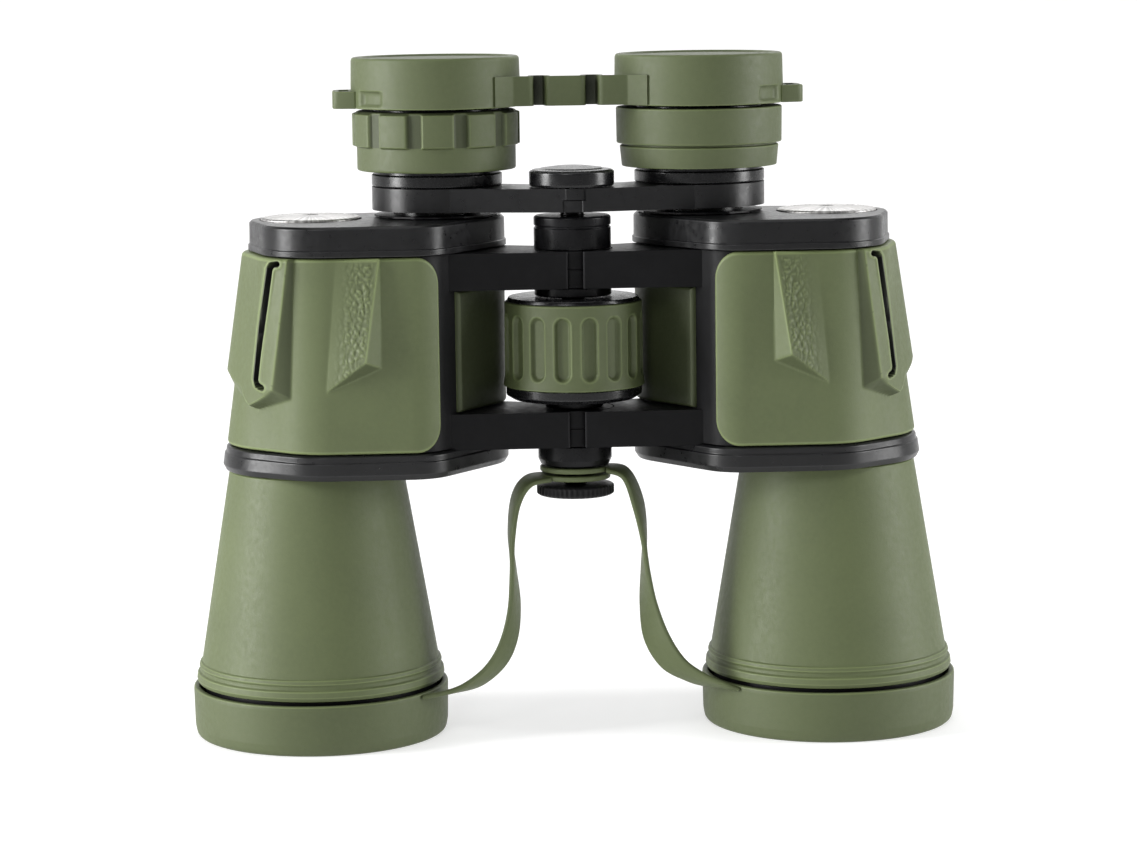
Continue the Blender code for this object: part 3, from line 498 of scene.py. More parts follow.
def body_armour(side, name):
    """The moulded rubber skin: thumb ridge, strap lug with its slot, and a rolled edge all round, with
    painted shade marked in the pebble hollows, on the facets, in the slot and between the hinge arms.
    """
    edge = np.array((0, 0.04, 0.14, 0.3, 0.5, 0.72, 0.95))
    full = BODY_TOP - BODY_LOW
    middle = np.linspace(edge[-1], full - edge[-1], 130)[1:-1]
    shares = np.concatenate([edge, middle, full - edge[::-1]]) / full
    rows = len(shares)
    columns = len(armour_columns(BODY_LOW)[0])
    points = np.zeros((rows, columns, 3))
    gap, painted_slot_shade, pale = np.zeros((3, rows, columns))
    inner_edges = np.zeros((2, columns, 3))
    for r in range(rows):
        # The limits at a column hardly change with height, so each row is found from its own nominal height.
        nominal = BODY_LOW + shares[r] * full
        spots, q, back = armour_columns(nominal)
        x, y, angle, length = outline(nominal)
        low, high = armour_limits(spots, length[-1])
        z = low + shares[r] * (high - low)
        around = np.mod(spots, length[-1])
        px, py = np.interp(around, length, x), np.interp(around, length, y)
        turn = np.interp(around, length, angle)
        start, end = spots - spots[0], spots[-1] - spots
        reach = np.clip(PANEL_CORNER - start, 0, None)
        to_top = PANEL_CORNER - np.hypot(reach, np.clip(z - (BODY_TOP - PANEL_CORNER), 0, None))
        to_low = PANEL_CORNER - np.hypot(reach, np.clip(BODY_LOW + PANEL_CORNER - z, 0, None))
        border = np.minimum.reduce([high - z, z - low, end, np.maximum(to_top, 0), np.maximum(to_low, 0)])
        border = np.maximum(border, 0)
        offset, rough, painted_slot_shade[r], pale[r], shaded = armour_face(z, q, back, border)
        for c in np.nonzero(rough > 0.02)[0]:
            spot = Vector((px[c], py[c], z[c])) / PEBBLE
            near = noise.voronoi(spot)[0]
            height = min((near[1] - near[0]) / 0.45, 1)
            offset[c] += PEBBLE_RISE * rough[c] * (height - 0.4)
            # Painted shade: the hollows between the pebbles keep a share of darkening.
            rough[c] *= 0.22 * (1 - height)
        points[r] = np.stack([side * (px + offset * np.cos(turn)),
                              HINGE.y + py + offset * np.sin(turn), z], axis=1)
        # Painted shade: the inner tip between the hinge arms is darkened towards the hinge, standing in for
        # the shadow there.
        shade_between_arms = smooth_step(length[-1] - 40, length[-1] - 14, spots)
        gap[r] = np.maximum.reduce([rough, 0.9 * shade_between_arms, shaded])
        if r in (0, rows - 1):
            k = 0 if r == 0 else 1
            inner_edges[k] = np.stack([side * (px + ARMOUR_BACK * np.cos(turn)),
                                       HINGE.y + py + ARMOUR_BACK * np.sin(turn), z], axis=1)
    faces = quads(rows, columns, False)
    count = rows * columns
    below, above = count, count + columns
    last = (rows - 1) * columns
    for c in range(columns - 1):
        faces.append((c, c + 1, below + c + 1, below + c))
        faces.append((last + c + 1, last + c, above + c, above + c + 1))
        faces.append((below + c, below + c + 1, above + c + 1, above + c))
    faces.append((*[r * columns for r in range(rows)], above, below))
    faces.append((*[r * columns + columns - 1 for r in reversed(range(rows))], below + columns - 1,
                  above + columns - 1))
    everything = np.concatenate([points.reshape(-1, 3), inner_edges.reshape(-1, 3)])
    mesh = bpy.data.meshes.new(name)
    mesh.from_pydata((everything * MM).tolist(), [], faces)
    piece = new_object(name, mesh)
    rest = np.zeros(2 * columns)
    # The gap mark holds painted shade, and the slot mark holds the slot's painted near-black shade.
    for label, values in (("gap", gap), ("slot", painted_slot_shade), ("pale", pale)):
        mark(piece, label, np.concatenate([values.ravel(), rest]))
    shape = bmesh.new()
    shape.from_mesh(mesh)
    bmesh.ops.recalc_face_normals(shape, faces=shape.faces)
    shape.to_mesh(mesh)
    shape.free()
    mesh.shade_smooth()
    mesh.set_sharp_from_angle(angle=math.radians(50))
    return piece


# ---------------------------------------------------------------- black body pieces

def arm_with_knuckle(name, side, corners, span, bore):
    """A flat arm with its own knuckle, cut clear of the other half's knuckle. The arm's back edge runs into
    the knuckle."""
    low, high = span
    middle = (low + high) / 2
    play = 0.1
    own = (middle, high - FLUSH) if side == LEFT else (low + FLUSH, middle)
    other = (low - 1, middle + play) if side == LEFT else (middle - play, high + 1)
    arm = slab(name, held(rounded(plan(side, (*corners, (3, 7)))), True), low, high)
    combined(arm, bar("knuckle", KNUCKLE, *own, HINGE), "UNION")
    combined(arm, bar("clearance", KNUCKLE + 0.4, *other, HINGE), "DIFFERENCE")
    return finish_mesh(combined(arm, bar("bore", bore, low - 1, high + 1, HINGE), "DIFFERENCE"))


def hinge_arm(name, side, span):
    deep = 33.4
    corners = ((SEAM, ARM_FRONT, 0.5), (deep, ARM_FRONT), (deep, 10), (20, 14, 2))
    return arm_with_knuckle(name, side, corners, span, 5.2)


def prism_housing(side, name):
    profile = ((HOUSING_FACE, BODY_LOW), (HOUSING_FACE, BODY_TOP))
    return body_stack(name, side, profile)


def cover_plate(side, name):
    """The stepped top cover, with a seat for the bright disc and a hole for the eyepiece."""
    profile = (
        (-0.3, COVER_LOW), (0.15, COVER_LOW + 0.1, 0.2), (0.15, COVER_LOW + 1.5, 0.2),
        (-0.2, COVER_LOW + 1.7, 0.15), (-0.25, COVER_TOP - 0.6, 0.4), (-0.85, COVER_TOP, 0.3),
        (-1.6, COVER_TOP),
    )
    plate = body_stack(name, side, profile)
    seat_radius = half_width(f"{name.split('_')[0]}_cover_disc") + 0.35
    seat = bar("seat", seat_radius, COVER_TOP - 0.9, COVER_TOP + 1, place(side, OBJECTIVE))
    combined(plate, seat, "DIFFERENCE")
    hole = bar("hole", 12.9, COVER_LOW - 1, COVER_TOP + 1, place(side, EYE))
    return finish_mesh(combined(plate, hole, "DIFFERENCE"))


def cover_disc(side, name):
    low, high = levels(name)
    edge = half_width(name)
    profile = (
        (0, low), (edge, low, 0.1), (edge, high - 0.8, 0.15), (edge - 0.5, high - 0.5, 0.2),
        (edge - 1.6, high - 0.35, 0.2), (edge - 1.9, high - 0.5, 0.1), (edge * 0.6, high - 0.15, 3),
        (2.2, high, 0.2), (1.9, high - 0.2, 0.1), (0, high - 0.2),
    )
    return turned(name, profile, place(side, OBJECTIVE), 160)


def flange(side, name):
    """The lower plate: a sloping face with a stepped rim."""
    low, high = FLANGE_LOW, FLANGE_TOP
    profile = (
        (-2.2, low), (-0.9, low, 0.3), (0, low + 1.4, 0.6), (0, high - 2.1, 0.25), (-0.35, high - 1.8, 0.2),
        (-0.35, high - 0.5, 0.3), (-0.9, high),
    )
    return body_stack(name, side, profile)


# ---------------------------------------------------------------- barrels and caps

def barrel_sleeve(side, name):
    low, high = levels(name)
    bead = half_width(name)
    top = 22.3
    profile = (
        (bead - 1.8, low), (bead - 0.4, low, 0.3), (bead, low + 1.0, 0.5), (bead - 0.2, low + 2.5, 0.5),
        (bead - 0.9, low + 2.9, 0.3), (bead - 1.0, low + 3.7, 0.3), (bead - 0.65, low + 4.3, 0.4),
        (bead - 0.95, low + 5.2, 0.5), (bead - 1.45, low + 5.5, 0.3), (top, high - 0.3, 0.3),
        (top - 0.3, high), (top - 1.4, high), (bead - 2.2, low + 2),
    )
    return turned(name, profile, place(side, OBJECTIVE), 192)


def objective_cap(side, name):
    low, high = levels(name)
    edge = half_width(name)
    profile = (
        (0, low + 0.5), (edge - 4.6, low + 0.5, 0.2), (edge - 5, low, 0.2), (edge - 0.7, low, 2),
        (edge - 0.2, low + 3, 2), (edge, high - 1, 1), (edge - 0.1, high, 0.5), (edge - 1.6, high, 0.4),
        (edge - 1.8, low + 2.2, 0.5), (0, low + 2.2),
    )
    return turned(name, profile, place(side, OBJECTIVE), 192)


def objective_tube(side, name):
    low, high = levels(name)
    profile = (
        (29.4, low, 0.2), (29.9, low + 0.4, 0.2), (29.9, 13.4), (28.8, 15), (20, 68.6), (20, high),
        (18, high), (18.2, 68), (23, 22, 0.2), (25.2, 22, 0.2), (25.2, low + 1.5, 0.2), (27.5, low, 0.2),
    )
    return turned(name, profile, place(side, OBJECTIVE), 160)


# ---------------------------------------------------------------- eyepieces

def eyepiece_tube(side, name):
    low, high = levels(name)
    seat_low, seat_top = levels(f"{name.split('_')[0]}_bridge_arm")
    ring_low = levels("dioptre_ring")[0]
    wide = 16.7
    profile = (
        (11, low, 0.3), (11, seat_low - 0.2), (14, seat_low - 0.2), (14, seat_top + 0.2),
        (wide - 0.2, seat_top + 0.2, 0.15), (wide, seat_top + 0.5, 0.2), (wide, ring_low - 1.2, 0.2),
        (wide - 0.6, ring_low - 0.9, 0.1), (wide - 0.6, ring_low - 0.2), (16, ring_low - 0.2),
        (16, high, 0.2), (14.3, high, 0.2), (14.3, 148), (9.4, 148), (9.4, low, 0.2),
    )
    return turned(name, profile, place(side, EYE), 144)


def bridge_arm(side, name):
    """The flat bar that carries an eyepiece: a knuckle at the hinge and a ring round the barrel."""
    low, high = levels(name)
    corners = ((SEAM, -10, 0.5), (31, -3.5), (34, 12), (20, 16))
    arm = arm_with_knuckle(name, side, corners, (low, high), 4.2)
    combined(arm, bar("ring", 16.7, low + FLUSH, high - FLUSH, place(side, EYE), 144), "UNION")
    combined(arm, bar("seat", 14.2, low - 1, high + 1, place(side, EYE), 144), "DIFFERENCE")
    return finish_mesh(arm)


def pad_mask(turn, height, low, high, pads):
    """1 on the square grip pads round a ring and 0 between them."""
    pitch = 2 * math.pi / pads
    middle = np.mod(turn - math.radians(-90.2), pitch)
    off = np.minimum(middle, pitch - middle)
    half = math.radians(11.3)
    edge = math.radians(0.8)
    across = 1 - smooth_step(half - edge, half + edge, off)
    soft = 0.25
    over, under = smooth_step(low - soft, low + soft, height), smooth_step(high - soft, high + soft, height)
    return across * over * (1 - under)


def dioptre_ring(name):
    """The turning ring: a plain lower band and a row of square grip pads, with painted shade between the
    pads.
    """
    low, high = levels(name)
    plain, proud = 20.3, 21.4
    pad_low, pad_high = low + 6.2, high - 0.5
    heights = np.unique(np.concatenate([
        np.linspace(low + 0.5, high - 0.4, 40),
        np.linspace(pad_low - 0.4, pad_low + 0.4, 7),
        np.linspace(pad_high - 0.4, high - 0.4, 5),
    ]))
    steps = 440
    turns = 2 * math.pi * np.arange(steps) / steps
    at = place(LEFT, EYE)
    rows = [(16.4, low), (plain - 0.5, low), (plain - 0.12, low + 0.15)]
    for height in heights:
        rows.append((plain + (proud - plain) * pad_mask(turns, height, pad_low, pad_high, 11), height))
    rows += [(plain - 0.12, high - 0.12), (plain - 0.5, high), (16.4, high)]
    ring = wheel(name, at, rows, steps, sharp=60)
    spots = [point.co / MM - at for point in ring.data.vertices]
    low_band = np.array([spot.z > pad_low for spot in spots])
    sunk = np.array([proud - 0.3 - math.hypot(spot.x, spot.y) for spot in spots])
    # Painted shade: the sunk band between the grip pads is darkened as if in shadow.
    mark(ring, "gap", 0.6 * low_band * smooth_step(0, 0.6, sunk))
    return ring


def right_eyepiece_ring(name):
    """The fixed eyepiece's ring: two smooth bands with a groove between them."""
    low, high = levels(name)
    plain, proud = 20.3, 21.3
    groove = low + 5.9
    profile = (
        (16.4, low), (plain - 0.4, low, 0.3), (plain + 0.1, groove - 0.7, 0.4),
        (plain - 0.7, groove - 0.5, 0.1), (plain - 0.7, groove, 0.1), (proud - 0.1, groove, 0.4),
        (proud, high, 0.5), (16.4, high),
    )
    return turned(name, profile, place(RIGHT, EYE), 160)


def eyecup(side, name):
    low, high = levels(name)
    edge = half_width(name)
    profile = (
        (edge, low, 0.3), (edge, high - 1, 0.8), (edge - 1, high, 0.6), (edge - 2.4, high - 0.5, 0.6),
        (edge - 2.4, low + 1.6, 0.4), (13, low + 1.6, 0.2), (13, low, 0.2),
    )
    return turned(name, profile, place(side, EYE), 144)


CUP = 21.7
CUP_LOW, CUP_TOP = levels("left_rainguard_cup")


def press_niche(side, cup, at):
    """Presses a shallow niche into the cup's wall, in front of its strap loop."""
    for point in cup.data.vertices:
        spot = point.co / MM - at
        turn, radius = math.degrees(math.atan2(spot.y, side * spot.x)), spot.xy.length
        if radius < CUP - 0.6:
            continue
        deep = smooth_step(-51, -46, turn) * (1 - smooth_step(-28, -26, turn))
        deep *= smooth_step(CUP_LOW + 0.7, CUP_LOW + 1.2, spot.z)
        deep *= 1 - smooth_step(CUP_LOW + 4, CUP_LOW + 4.8, spot.z)
        share = 1 - 1.1 * deep / radius
        point.co.x, point.co.y = (at.x + spot.x * share) * MM, (at.y + spot.y * share) * MM


def rainguard_cup(side, name):
    """The soft cover over an eyecup, with its strap loop low on the outer side."""
    low, high = CUP_LOW, CUP_TOP
    at = place(side, EYE)
    profile = (
        (0, high - 0.5), (CUP - 3.2, high - 0.5, 0.5), (CUP - 2.6, high, 0.4), (CUP - 0.25, high, 1),
        *[(CUP - 0.1, low + rise) for rise in (6, 4.8, 4.4, 4, 3.2, 2.4, 1.6, 1.2, 0.8)], (CUP, low, 0.4),
        (CUP - 1.6, low, 0.4), (CUP - 1.8, high - 2, 0.8), (0, high - 2),
    )
    cup = turned(name, profile, at, 240)
    press_niche(side, cup, at)
    near, far = CUP - 1.4, CUP + 4.6
    wide, inner = 4.4, CUP + 0.5
    corners = ((near, -7.4, 0.5), (far, -6, 2), (far, 6, 2), (near, 7.4, 0.5))
    hole = ((inner, -wide), (far - 1.6, -wide), (far - 1.6, wide), (inner, wide))
    tab = bevelled(slab("tab", rounded(plan(side, corners, at)), low, low + 4.4), 0.6)
    combined(tab, slab("hole", plan(side, hole, at), low - 1, low + 6), "DIFFERENCE")
    combined(cup, tab, "UNION")
    return finish_mesh(cup)


LINK_THICK = 1.4


def rainguard_link(name):
    """The web between the cups, with two deep folds whose backs get painted shade, its ends lying on the
    cups' front.
    """
    low, high = levels(name)
    folds = ((-19.5, -3, 2), (-14.6, 0.2, 2), (-10.1, 0.2, 0.8), (-9.7, 5.6, 1.2), (-6, 5.6, 1.2),
             (-5.6, 0.2, 0.8), (3.1, 0.2, 0.8), (3.5, 5.6, 1.2), (7.4, 5.6, 1.2), (7.8, 0.2, 0.8),
             (14.6, 0.2, 2), (19.5, -3, 2))
    route = rounded([(x, HINGE.y + y, r) for x, y, r in folds], closed=False)
    half = LINK_THICK / 2
    section = ((-half, low), (half, low), (half, high), (-half, high))
    loops = []
    for k, (x, y) in enumerate(route):
        before, after = route[max(k - 1, 0)], route[min(k + 1, len(route) - 1)]
        run = Vector((after[0] - before[0], after[1] - before[1])).normalized()
        loops.append([(x - run.y * out, y + run.x * out, height) for out, height in section])
    link = loops_solid(name, loops)
    depth = np.array([point.co.y / MM - HINGE.y for point in link.data.vertices])
    # Painted shade: the deep back parts of the folds are darkened as shadow.
    mark(link, "gap", smooth_step(1, 2.4, depth))
    return link


# ---------------------------------------------------------------- hinge and focus

def focus_wheel_hub(name):
    low, high = levels(name)
    grip_low, grip_high = levels("focus_wheel_grip")
    edge = 17.3
    core = 14.9
    profile = (
        (edge - 1.8, low, 0.3), (edge, low + 1.1, 0.4), (edge, grip_low - 0.1, 0.2), (core, grip_low - 0.1),
        (core, grip_high + 0.1), (edge - 0.4, grip_high + 0.1, 0.2), (edge - 0.8, high, 0.3),
        (9, high, 0.3), (8.6, high - 0.4, 0.2), (3.2, high - 0.4), (3.2, low + 0.4), (8.6, low + 0.4, 0.2),
        (9, low, 0.3),
    )
    return turned(name, profile, HINGE, 144)


def focus_wheel_grip(name):
    """The wheel's rubber tyre, with recessed oval flutes and a slightly flared lower edge."""
    low, high = levels(name)
    flutes, steps = 16, 512
    turns = 2 * math.pi * np.arange(steps) / steps
    pitch = 2 * math.pi / flutes
    off = np.abs(np.mod(turns + pitch * 0.5 - math.radians(-102.7), pitch) - pitch / 2)
    half_wide, half_tall = 2, 8
    middle = (low + high) / 2 - 0.2
    radius = 17.5

    rows = [(15, low), (radius, low)]
    for height in np.linspace(low + 0.25, high - 0.25, 84):
        flare = 0.5 * (1 - smooth_step(low, low + 4, height))
        across = off * radius
        end = np.maximum(abs(height - middle) - (half_tall - half_wide), 0)
        distance = half_wide - np.hypot(across, end)
        dip = smooth_step(-0.15, 0.6, distance) * 1.2
        rim = np.clip(1 - np.abs(distance + 0.35) / (0.4), 0, 1) ** 2 * 0.1
        rows.append((radius + flare - dip + rim, height))
    rows += [(radius - 0.25, high), (15, high)]
    return wheel(name, HINGE, rows, steps, sharp=55)


def hinge_top_tube(name):
    """The bush through the upper arms: a collar under them and a tall one, with a fine groove, over them."""
    low, high = levels(name)
    under, over = UPPER_ARM[0] - 0.2, UPPER_ARM[1] + 0.2
    profile = (
        (9.6, low, 0.2), (9.8, low + 0.3, 0.2), (9.8, under, 0.2), (5, under), (5, over), (9.8, over, 0.2),
        (9.8, over + 5.2, 0.1), (9.5, over + 5.4, 0.1), (9.5, over + 5.8, 0.1), (9.8, over + 6, 0.1),
        (9.8, high - 0.4, 0.3), (9.3, high, 0.2), (3.3, high, 0.2), (3.3, low, 0.2),
    )
    return turned(name, profile, HINGE)


def hinge_pin(name):
    low, high = levels(name)
    stub_low, stub_top = 69.9, 75.1
    profile = (
        (0, 79), (3.3, 79), (3.3, high), (7.4, high, 0.2), (7.4, LOWER_ARM[1] + 0.2, 0.2),
        (5, LOWER_ARM[1] + 0.2), (5, stub_top), (9.4, stub_top, 0.2), (9.4, stub_low + 1.6, 0.3),
        (8.7, stub_low, 0.5), (5.4, stub_low, 0.2), (5.4, low, 0.2), (3.1, low, 0.2), (3.1, 75), (0, 75),
    )
    return turned(name, profile, HINGE)


def focusing_screw(name):
    """The screw under the bridge, with its thread as a row of fine rings."""
    low, high = levels(name)
    shoulder = 134.6
    thread = [(0, low), (2.5, low, 0.2)]
    height, pitch = low + 1, 1.5
    while height < shoulder - 4:
        thread += [(2.6, height), (3.0, height + pitch * 0.3), (3.0, height + pitch * 0.5),
                   (2.6, height + pitch * 0.8)]
        height += pitch
    thread += [(3, shoulder - 1), (3, shoulder), (4, shoulder, 0.2), (4, high), (0, high)]
    return turned(name, thread, HINGE, 64)


def bridge_cap(name):
    low, high = levels(name)
    edge = half_width(name)
    profile = (
        (0, low), (edge - 0.2, low, 0.2), (edge, low + 0.5, 0.3), (edge, low + 3.6, 0.6),
        (edge - 0.9, low + 4.1, 0.5), (edge - 2.6, low + 4.2, 0.3), (edge - 3.1, low + 4.5, 0.4),
        (3.6, high, 2), (0, high),
    )
    return turned(name, profile, HINGE)


def tripod_cap(name):
    """The knurled screw cap at the hinge's lower end."""
    low, high = levels(name)
    edge = half_width(name)
    steps = 288
    ridges = 48
    turns = 2 * math.pi * np.arange(steps) / steps
    knurl = 0.25 * (0.5 + 0.5 * np.cos(ridges * turns))

    rows = [(0, low), (6, low), (6.3, low + 0.2), (6.6, low), (edge - 1, low), (edge - 0.5, low + 0.15)]
    rows += [(edge - knurl, height) for height in np.linspace(low + 0.5, high - 0.5, 5)]
    rows += [(edge - 0.5, high - 0.15), (edge - 1, high), (3, high), (3, low + 1), (0, low + 1)]
    return wheel(name, HINGE, rows, steps, ring=False, sharp=45)


# ---------------------------------------------------------------- cap straps

STRAP = 1.3
STRAP_RING = 9
STRAP_RING_HEIGHT = {LEFT: 66.8, RIGHT: 68.8}
NECK = 5.7

# (near edge, far edge) of each band, from its ring round the neck down to the cap's rim, from the hinge.
STRAP_ROUTES = {
    LEFT: (
        ((6.5, -6.8, 66.6), (6.5, 1.5, 67.2)),
        ((11.8, -6.8, 65.2), (12.6, 1.5, 66.4)),
        ((15, -7, 60), (16, 1.3, 61.6)),
        ((16.6, -7.5, 51), (17, 1, 52)),
        ((17, -8, 43), (16, 0.5, 43)),
        ((17.9, -8.6, 33.5), (14.9, -0.6, 34)),
        ((20.3, -9.5, 25.4), (15.6, -2.4, 25.6)),
        ((24, -10.6, 19.6), (18.6, -4.2, 19)),
        ((29, -11.6, 15.6), (24.6, -4.6, 14)),
        ((33.6, -12.2, 13.6), (31.5, -4.4, 12.2)),
        ((40.4, -12.3, 12.3), (35.6, -4.2, 11.8)),
    ),
    RIGHT: (
        ((7.5, -6.6, 68.7), (7.5, 1.5, 69.1)),
        ((12, -6.6, 66.4), (13.4, 1.6, 67.9)),
        ((14.6, -7, 58.6), (17, 1.2, 60.6)),
        ((16.6, -7.6, 50.4), (17.8, 0.9, 51.4)),
        ((17.9, -8, 42.4), (17.1, 0.5, 42.4)),
        ((19.8, -8.6, 34.2), (16.4, -0.6, 33.6)),
        ((23, -9.6, 26), (17, -3.4, 24.4)),
        ((27.2, -10.6, 19.6), (21.2, -4.6, 17.2)),
        ((32.6, -11.8, 15.8), (27.6, -4.8, 13.6)),
        ((37, -12.6, 13.8), (32.4, -4.6, 12.2)),
        ((40.6, -12.4, 12.3), (35.4, -4.2, 11.8)),
    ),
}


def smooth_line(points, per):
    """Points along the smooth curve through some points."""
    points = np.array(points, float)
    padded = np.concatenate([[2 * points[0] - points[1]], points, [2 * points[-1] - points[-2]]])
    out = []
    for k in range(len(points) - 1):
        p0, p1, p2, p3 = padded[k:k + 4]
        for t in np.arange(per) / per:
            out.append(0.5 * (2 * p1 + (p2 - p0) * t + (2 * p0 - 5 * p1 + 4 * p2 - p3) * t**2
                              + (3 * p1 - p0 - 3 * p2 + p3) * t**3))
    out.append(points[-1])
    return np.array(out)


def band_section(near, far, thick):
    """The rounded cross-section of a band between its two edges."""
    half = thick.length
    across = (far - near).normalized()
    section = []
    ends = ((near, 90, 270), (far, 270, 450))
    for centre_point, start, end in ends:
        inset = across * half * (1 if centre_point is near else -1)
        for step in range(5):
            turn = math.radians(start + (end - start) * step / 4)
            section.append(centre_point + inset + across * half * math.cos(turn) + thick * math.sin(turn))
    return section


def cap_strap(side, name):
    """A soft ring round the neck and the twisted flat band that ends at the cap's rim."""
    height = STRAP_RING_HEIGHT[side]
    half = STRAP / 2
    ring_profile = (
        (STRAP_RING, height - half, 0.4), (STRAP_RING, height + half, 0.4), (NECK, height + half, 0.4),
        (NECK, height - half, 0.4),
    )
    ring = turned(name, ring_profile, HINGE, 96)
    to_frame = np.array((side, 1, 1))
    base = np.array((0, HINGE.y, 0))
    near_line = smooth_line([near for near, _ in STRAP_ROUTES[side]], 8) * to_frame + base
    far_line = smooth_line([far for _, far in STRAP_ROUTES[side]], 8) * to_frame + base
    loops = []
    for k in range(len(near_line)):
        near, far = Vector(near_line[k]), Vector(far_line[k])
        before, after = max(k - 1, 0), min(k + 1, len(near_line) - 1)
        run = Vector(near_line[after] + far_line[after] - near_line[before] - far_line[before])
        thick = (far - near).cross(run).normalized() * half
        loops.append([tuple(p) for p in band_section(near, far, thick)])
    band = loops_solid("band", loops, sharp=60)
    combined(ring, band, "UNION")
    combined(ring, bar("hole", NECK, height - 8, height + 8, HINGE), "DIFFERENCE")
    return finish_mesh(ring, 60)


# ---------------------------------------------------------------- materials

GREEN = (0.085, 0.106, 0.0425)
BLACK = (0.0035, 0.0035, 0.004)


class Nodes:
    """A material's node tree, with short calls for adding and joining nodes."""

    def __init__(self, name):
        self.material = bpy.data.materials.new(name)
        self.material.use_nodes = True
        self.tree = self.material.node_tree
        self.shader = self.tree.nodes["Principled BSDF"]
        self.places = self.add("ShaderNodeTexCoord").outputs["Object"]

    def add(self, kind, settings=(), **inputs):
        made = self.tree.nodes.new(kind)
        for key, value in dict(settings).items():
            setattr(made, key, value)
        for key, value in inputs.items():
            self.put(made.inputs[key.replace("_", " ")], value)
        return made

    def put(self, socket, value):
        if isinstance(value, bpy.types.NodeSocket):
            self.tree.links.new(value, socket)
        else:
            socket.default_value = value

    def noise(self, scale, detail=3.0, roughness=0.55):
        inputs = {"Vector": self.places, "Scale": scale, "Detail": detail, "Roughness": roughness}
        return self.add("ShaderNodeTexNoise", **inputs).outputs["Fac"]

    def noise_along(self, value, scale, detail):
        """Noise that varies with one value only."""
        made = self.add("ShaderNodeTexNoise", {"noise_dimensions": "1D"}, W=value, Scale=scale, Detail=detail)
        return made.outputs["Fac"]

    def mark(self, label):
        """A value stored on the mesh, which is 0 on pieces that have none."""
        return self.add("ShaderNodeAttribute", {"attribute_name": label}).outputs["Fac"]

    def remap(self, value, low, high, to_low, to_high):
        made = self.add("ShaderNodeMapRange", Value=value)
        ends = {"From Min": low, "From Max": high, "To Min": to_low, "To Max": to_high}
        for socket, number in ends.items():
            made.inputs[socket].default_value = number
        return made.outputs["Result"]

    def times(self, first, second):
        made = self.add("ShaderNodeMath", {"operation": "MULTIPLY"})
        self.put(made.inputs[0], first)
        self.put(made.inputs[1], second)
        return made.outputs[0]

    def mix(self, share, first, second):
        made = self.add("ShaderNodeMix", {"data_type": "RGBA"})
        self.put(made.inputs["Factor"], share)
        self.put(made.inputs["A"], (*first, 1) if isinstance(first, tuple) else first)
        self.put(made.inputs["B"], (*second, 1) if isinstance(second, tuple) else second)
        return made.outputs["Result"]

    def bump(self, height, depth, strength=1.0, below=None):
        made = self.add("ShaderNodeBump", Height=height, Distance=depth * MM, Strength=strength)
        if below is not None:
            self.put(made.inputs["Normal"], below)
        return made.outputs["Normal"]

    def set(self, **sockets):
        for key, value in sockets.items():
            self.put(self.shader.inputs[key.replace("_", " ")], value)
        return self.material


def shade(colour, share):
    return tuple(min(c * share, 1) for c in colour)


def rubber(name, colour, worn=0.45):
    """Matte moulded rubber: fine grain, soft mottling, paler edges, painted shade where marked as gap, and a
    slot painted near black as shade.
    """
    n = Nodes(name)
    mottle = n.noise(45, 4)
    cloud = n.noise(900, 2)
    base = n.mix(n.remap(mottle, 0.3, 0.7, 0, 1), shade(colour, 0.93), shade(colour, 1.07))
    base = n.mix(n.remap(cloud, 0.35, 0.75, 0, 0.35), base, shade(colour, 1.16))
    base = n.mix(n.times(n.mark("edge"), worn), base, shade(colour, 2.1))
    base = n.mix(n.times(n.mark("pale"), worn * 1.4), base, shade(colour, 2.1))
    # Painted shade: points marked as gap are darkened, standing in for shadow in hollows, folds, facets and
    # recesses.
    base = n.mix(n.times(n.mark("gap"), 0.8), base, shade(colour, 0.12))
    # Painted shade: the strap slot is painted almost black, standing in for its deep shadow.
    base = n.mix(n.mark("slot"), base, (0.003, 0.003, 0.003))
    grain = n.bump(n.noise(5200, 2), 0.05, 0.5)
    pits = n.bump(n.noise(1500, 3), 0.06, 0.45, grain)
    roughness = n.remap(n.noise(700, 3), 0.3, 0.7, 0.5, 0.62)
    return n.set(Base_Color=base, Roughness=roughness, Normal=pits, Specular_IOR_Level=0.45)


def black_plastic(name, roughness=0.45, specular=0.15, grain=0.03):
    """Satin moulded plastic with a fine spark-eroded texture, light rubbing, and painted highlights along its
    sharp edges.
    """
    n = Nodes(name)
    rub = n.noise(120, 5, 0.65)
    base = n.mix(n.remap(rub, 0.4, 0.75, 0, 1), BLACK, shade(BLACK, 1.6))
    # Painted highlight: sharp outward edges are lightened.
    base = n.mix(n.times(n.mark("edge"), 0.35), base, (0.035, 0.035, 0.037))
    rough = n.remap(n.noise(600, 4), 0.3, 0.7, roughness - 0.06, roughness + 0.08)
    normal = n.bump(n.noise(3800, 2), grain, 0.5)
    return n.set(Base_Color=base, Roughness=rough, Normal=normal, Specular_IOR_Level=specular)


def black_metal(name):
    """Turned and blackened metal: fine rings and a soft gloss."""
    n = Nodes(name)
    base = n.mix(n.remap(n.noise(200, 4), 0.35, 0.7, 0, 1), (0.003, 0.003, 0.0035), (0.008, 0.008, 0.009))
    split = n.add("ShaderNodeSeparateXYZ", Vector=n.places)
    rings = n.noise_along(split.outputs["Z"], 9000, 2)
    normal = n.bump(rings, 0.006, 0.2)
    rough = n.remap(n.noise(900, 3), 0.3, 0.7, 0.26, 0.34)
    return n.set(Base_Color=base, Roughness=rough, Normal=normal, Metallic=0.15, Specular_IOR_Level=0.2)


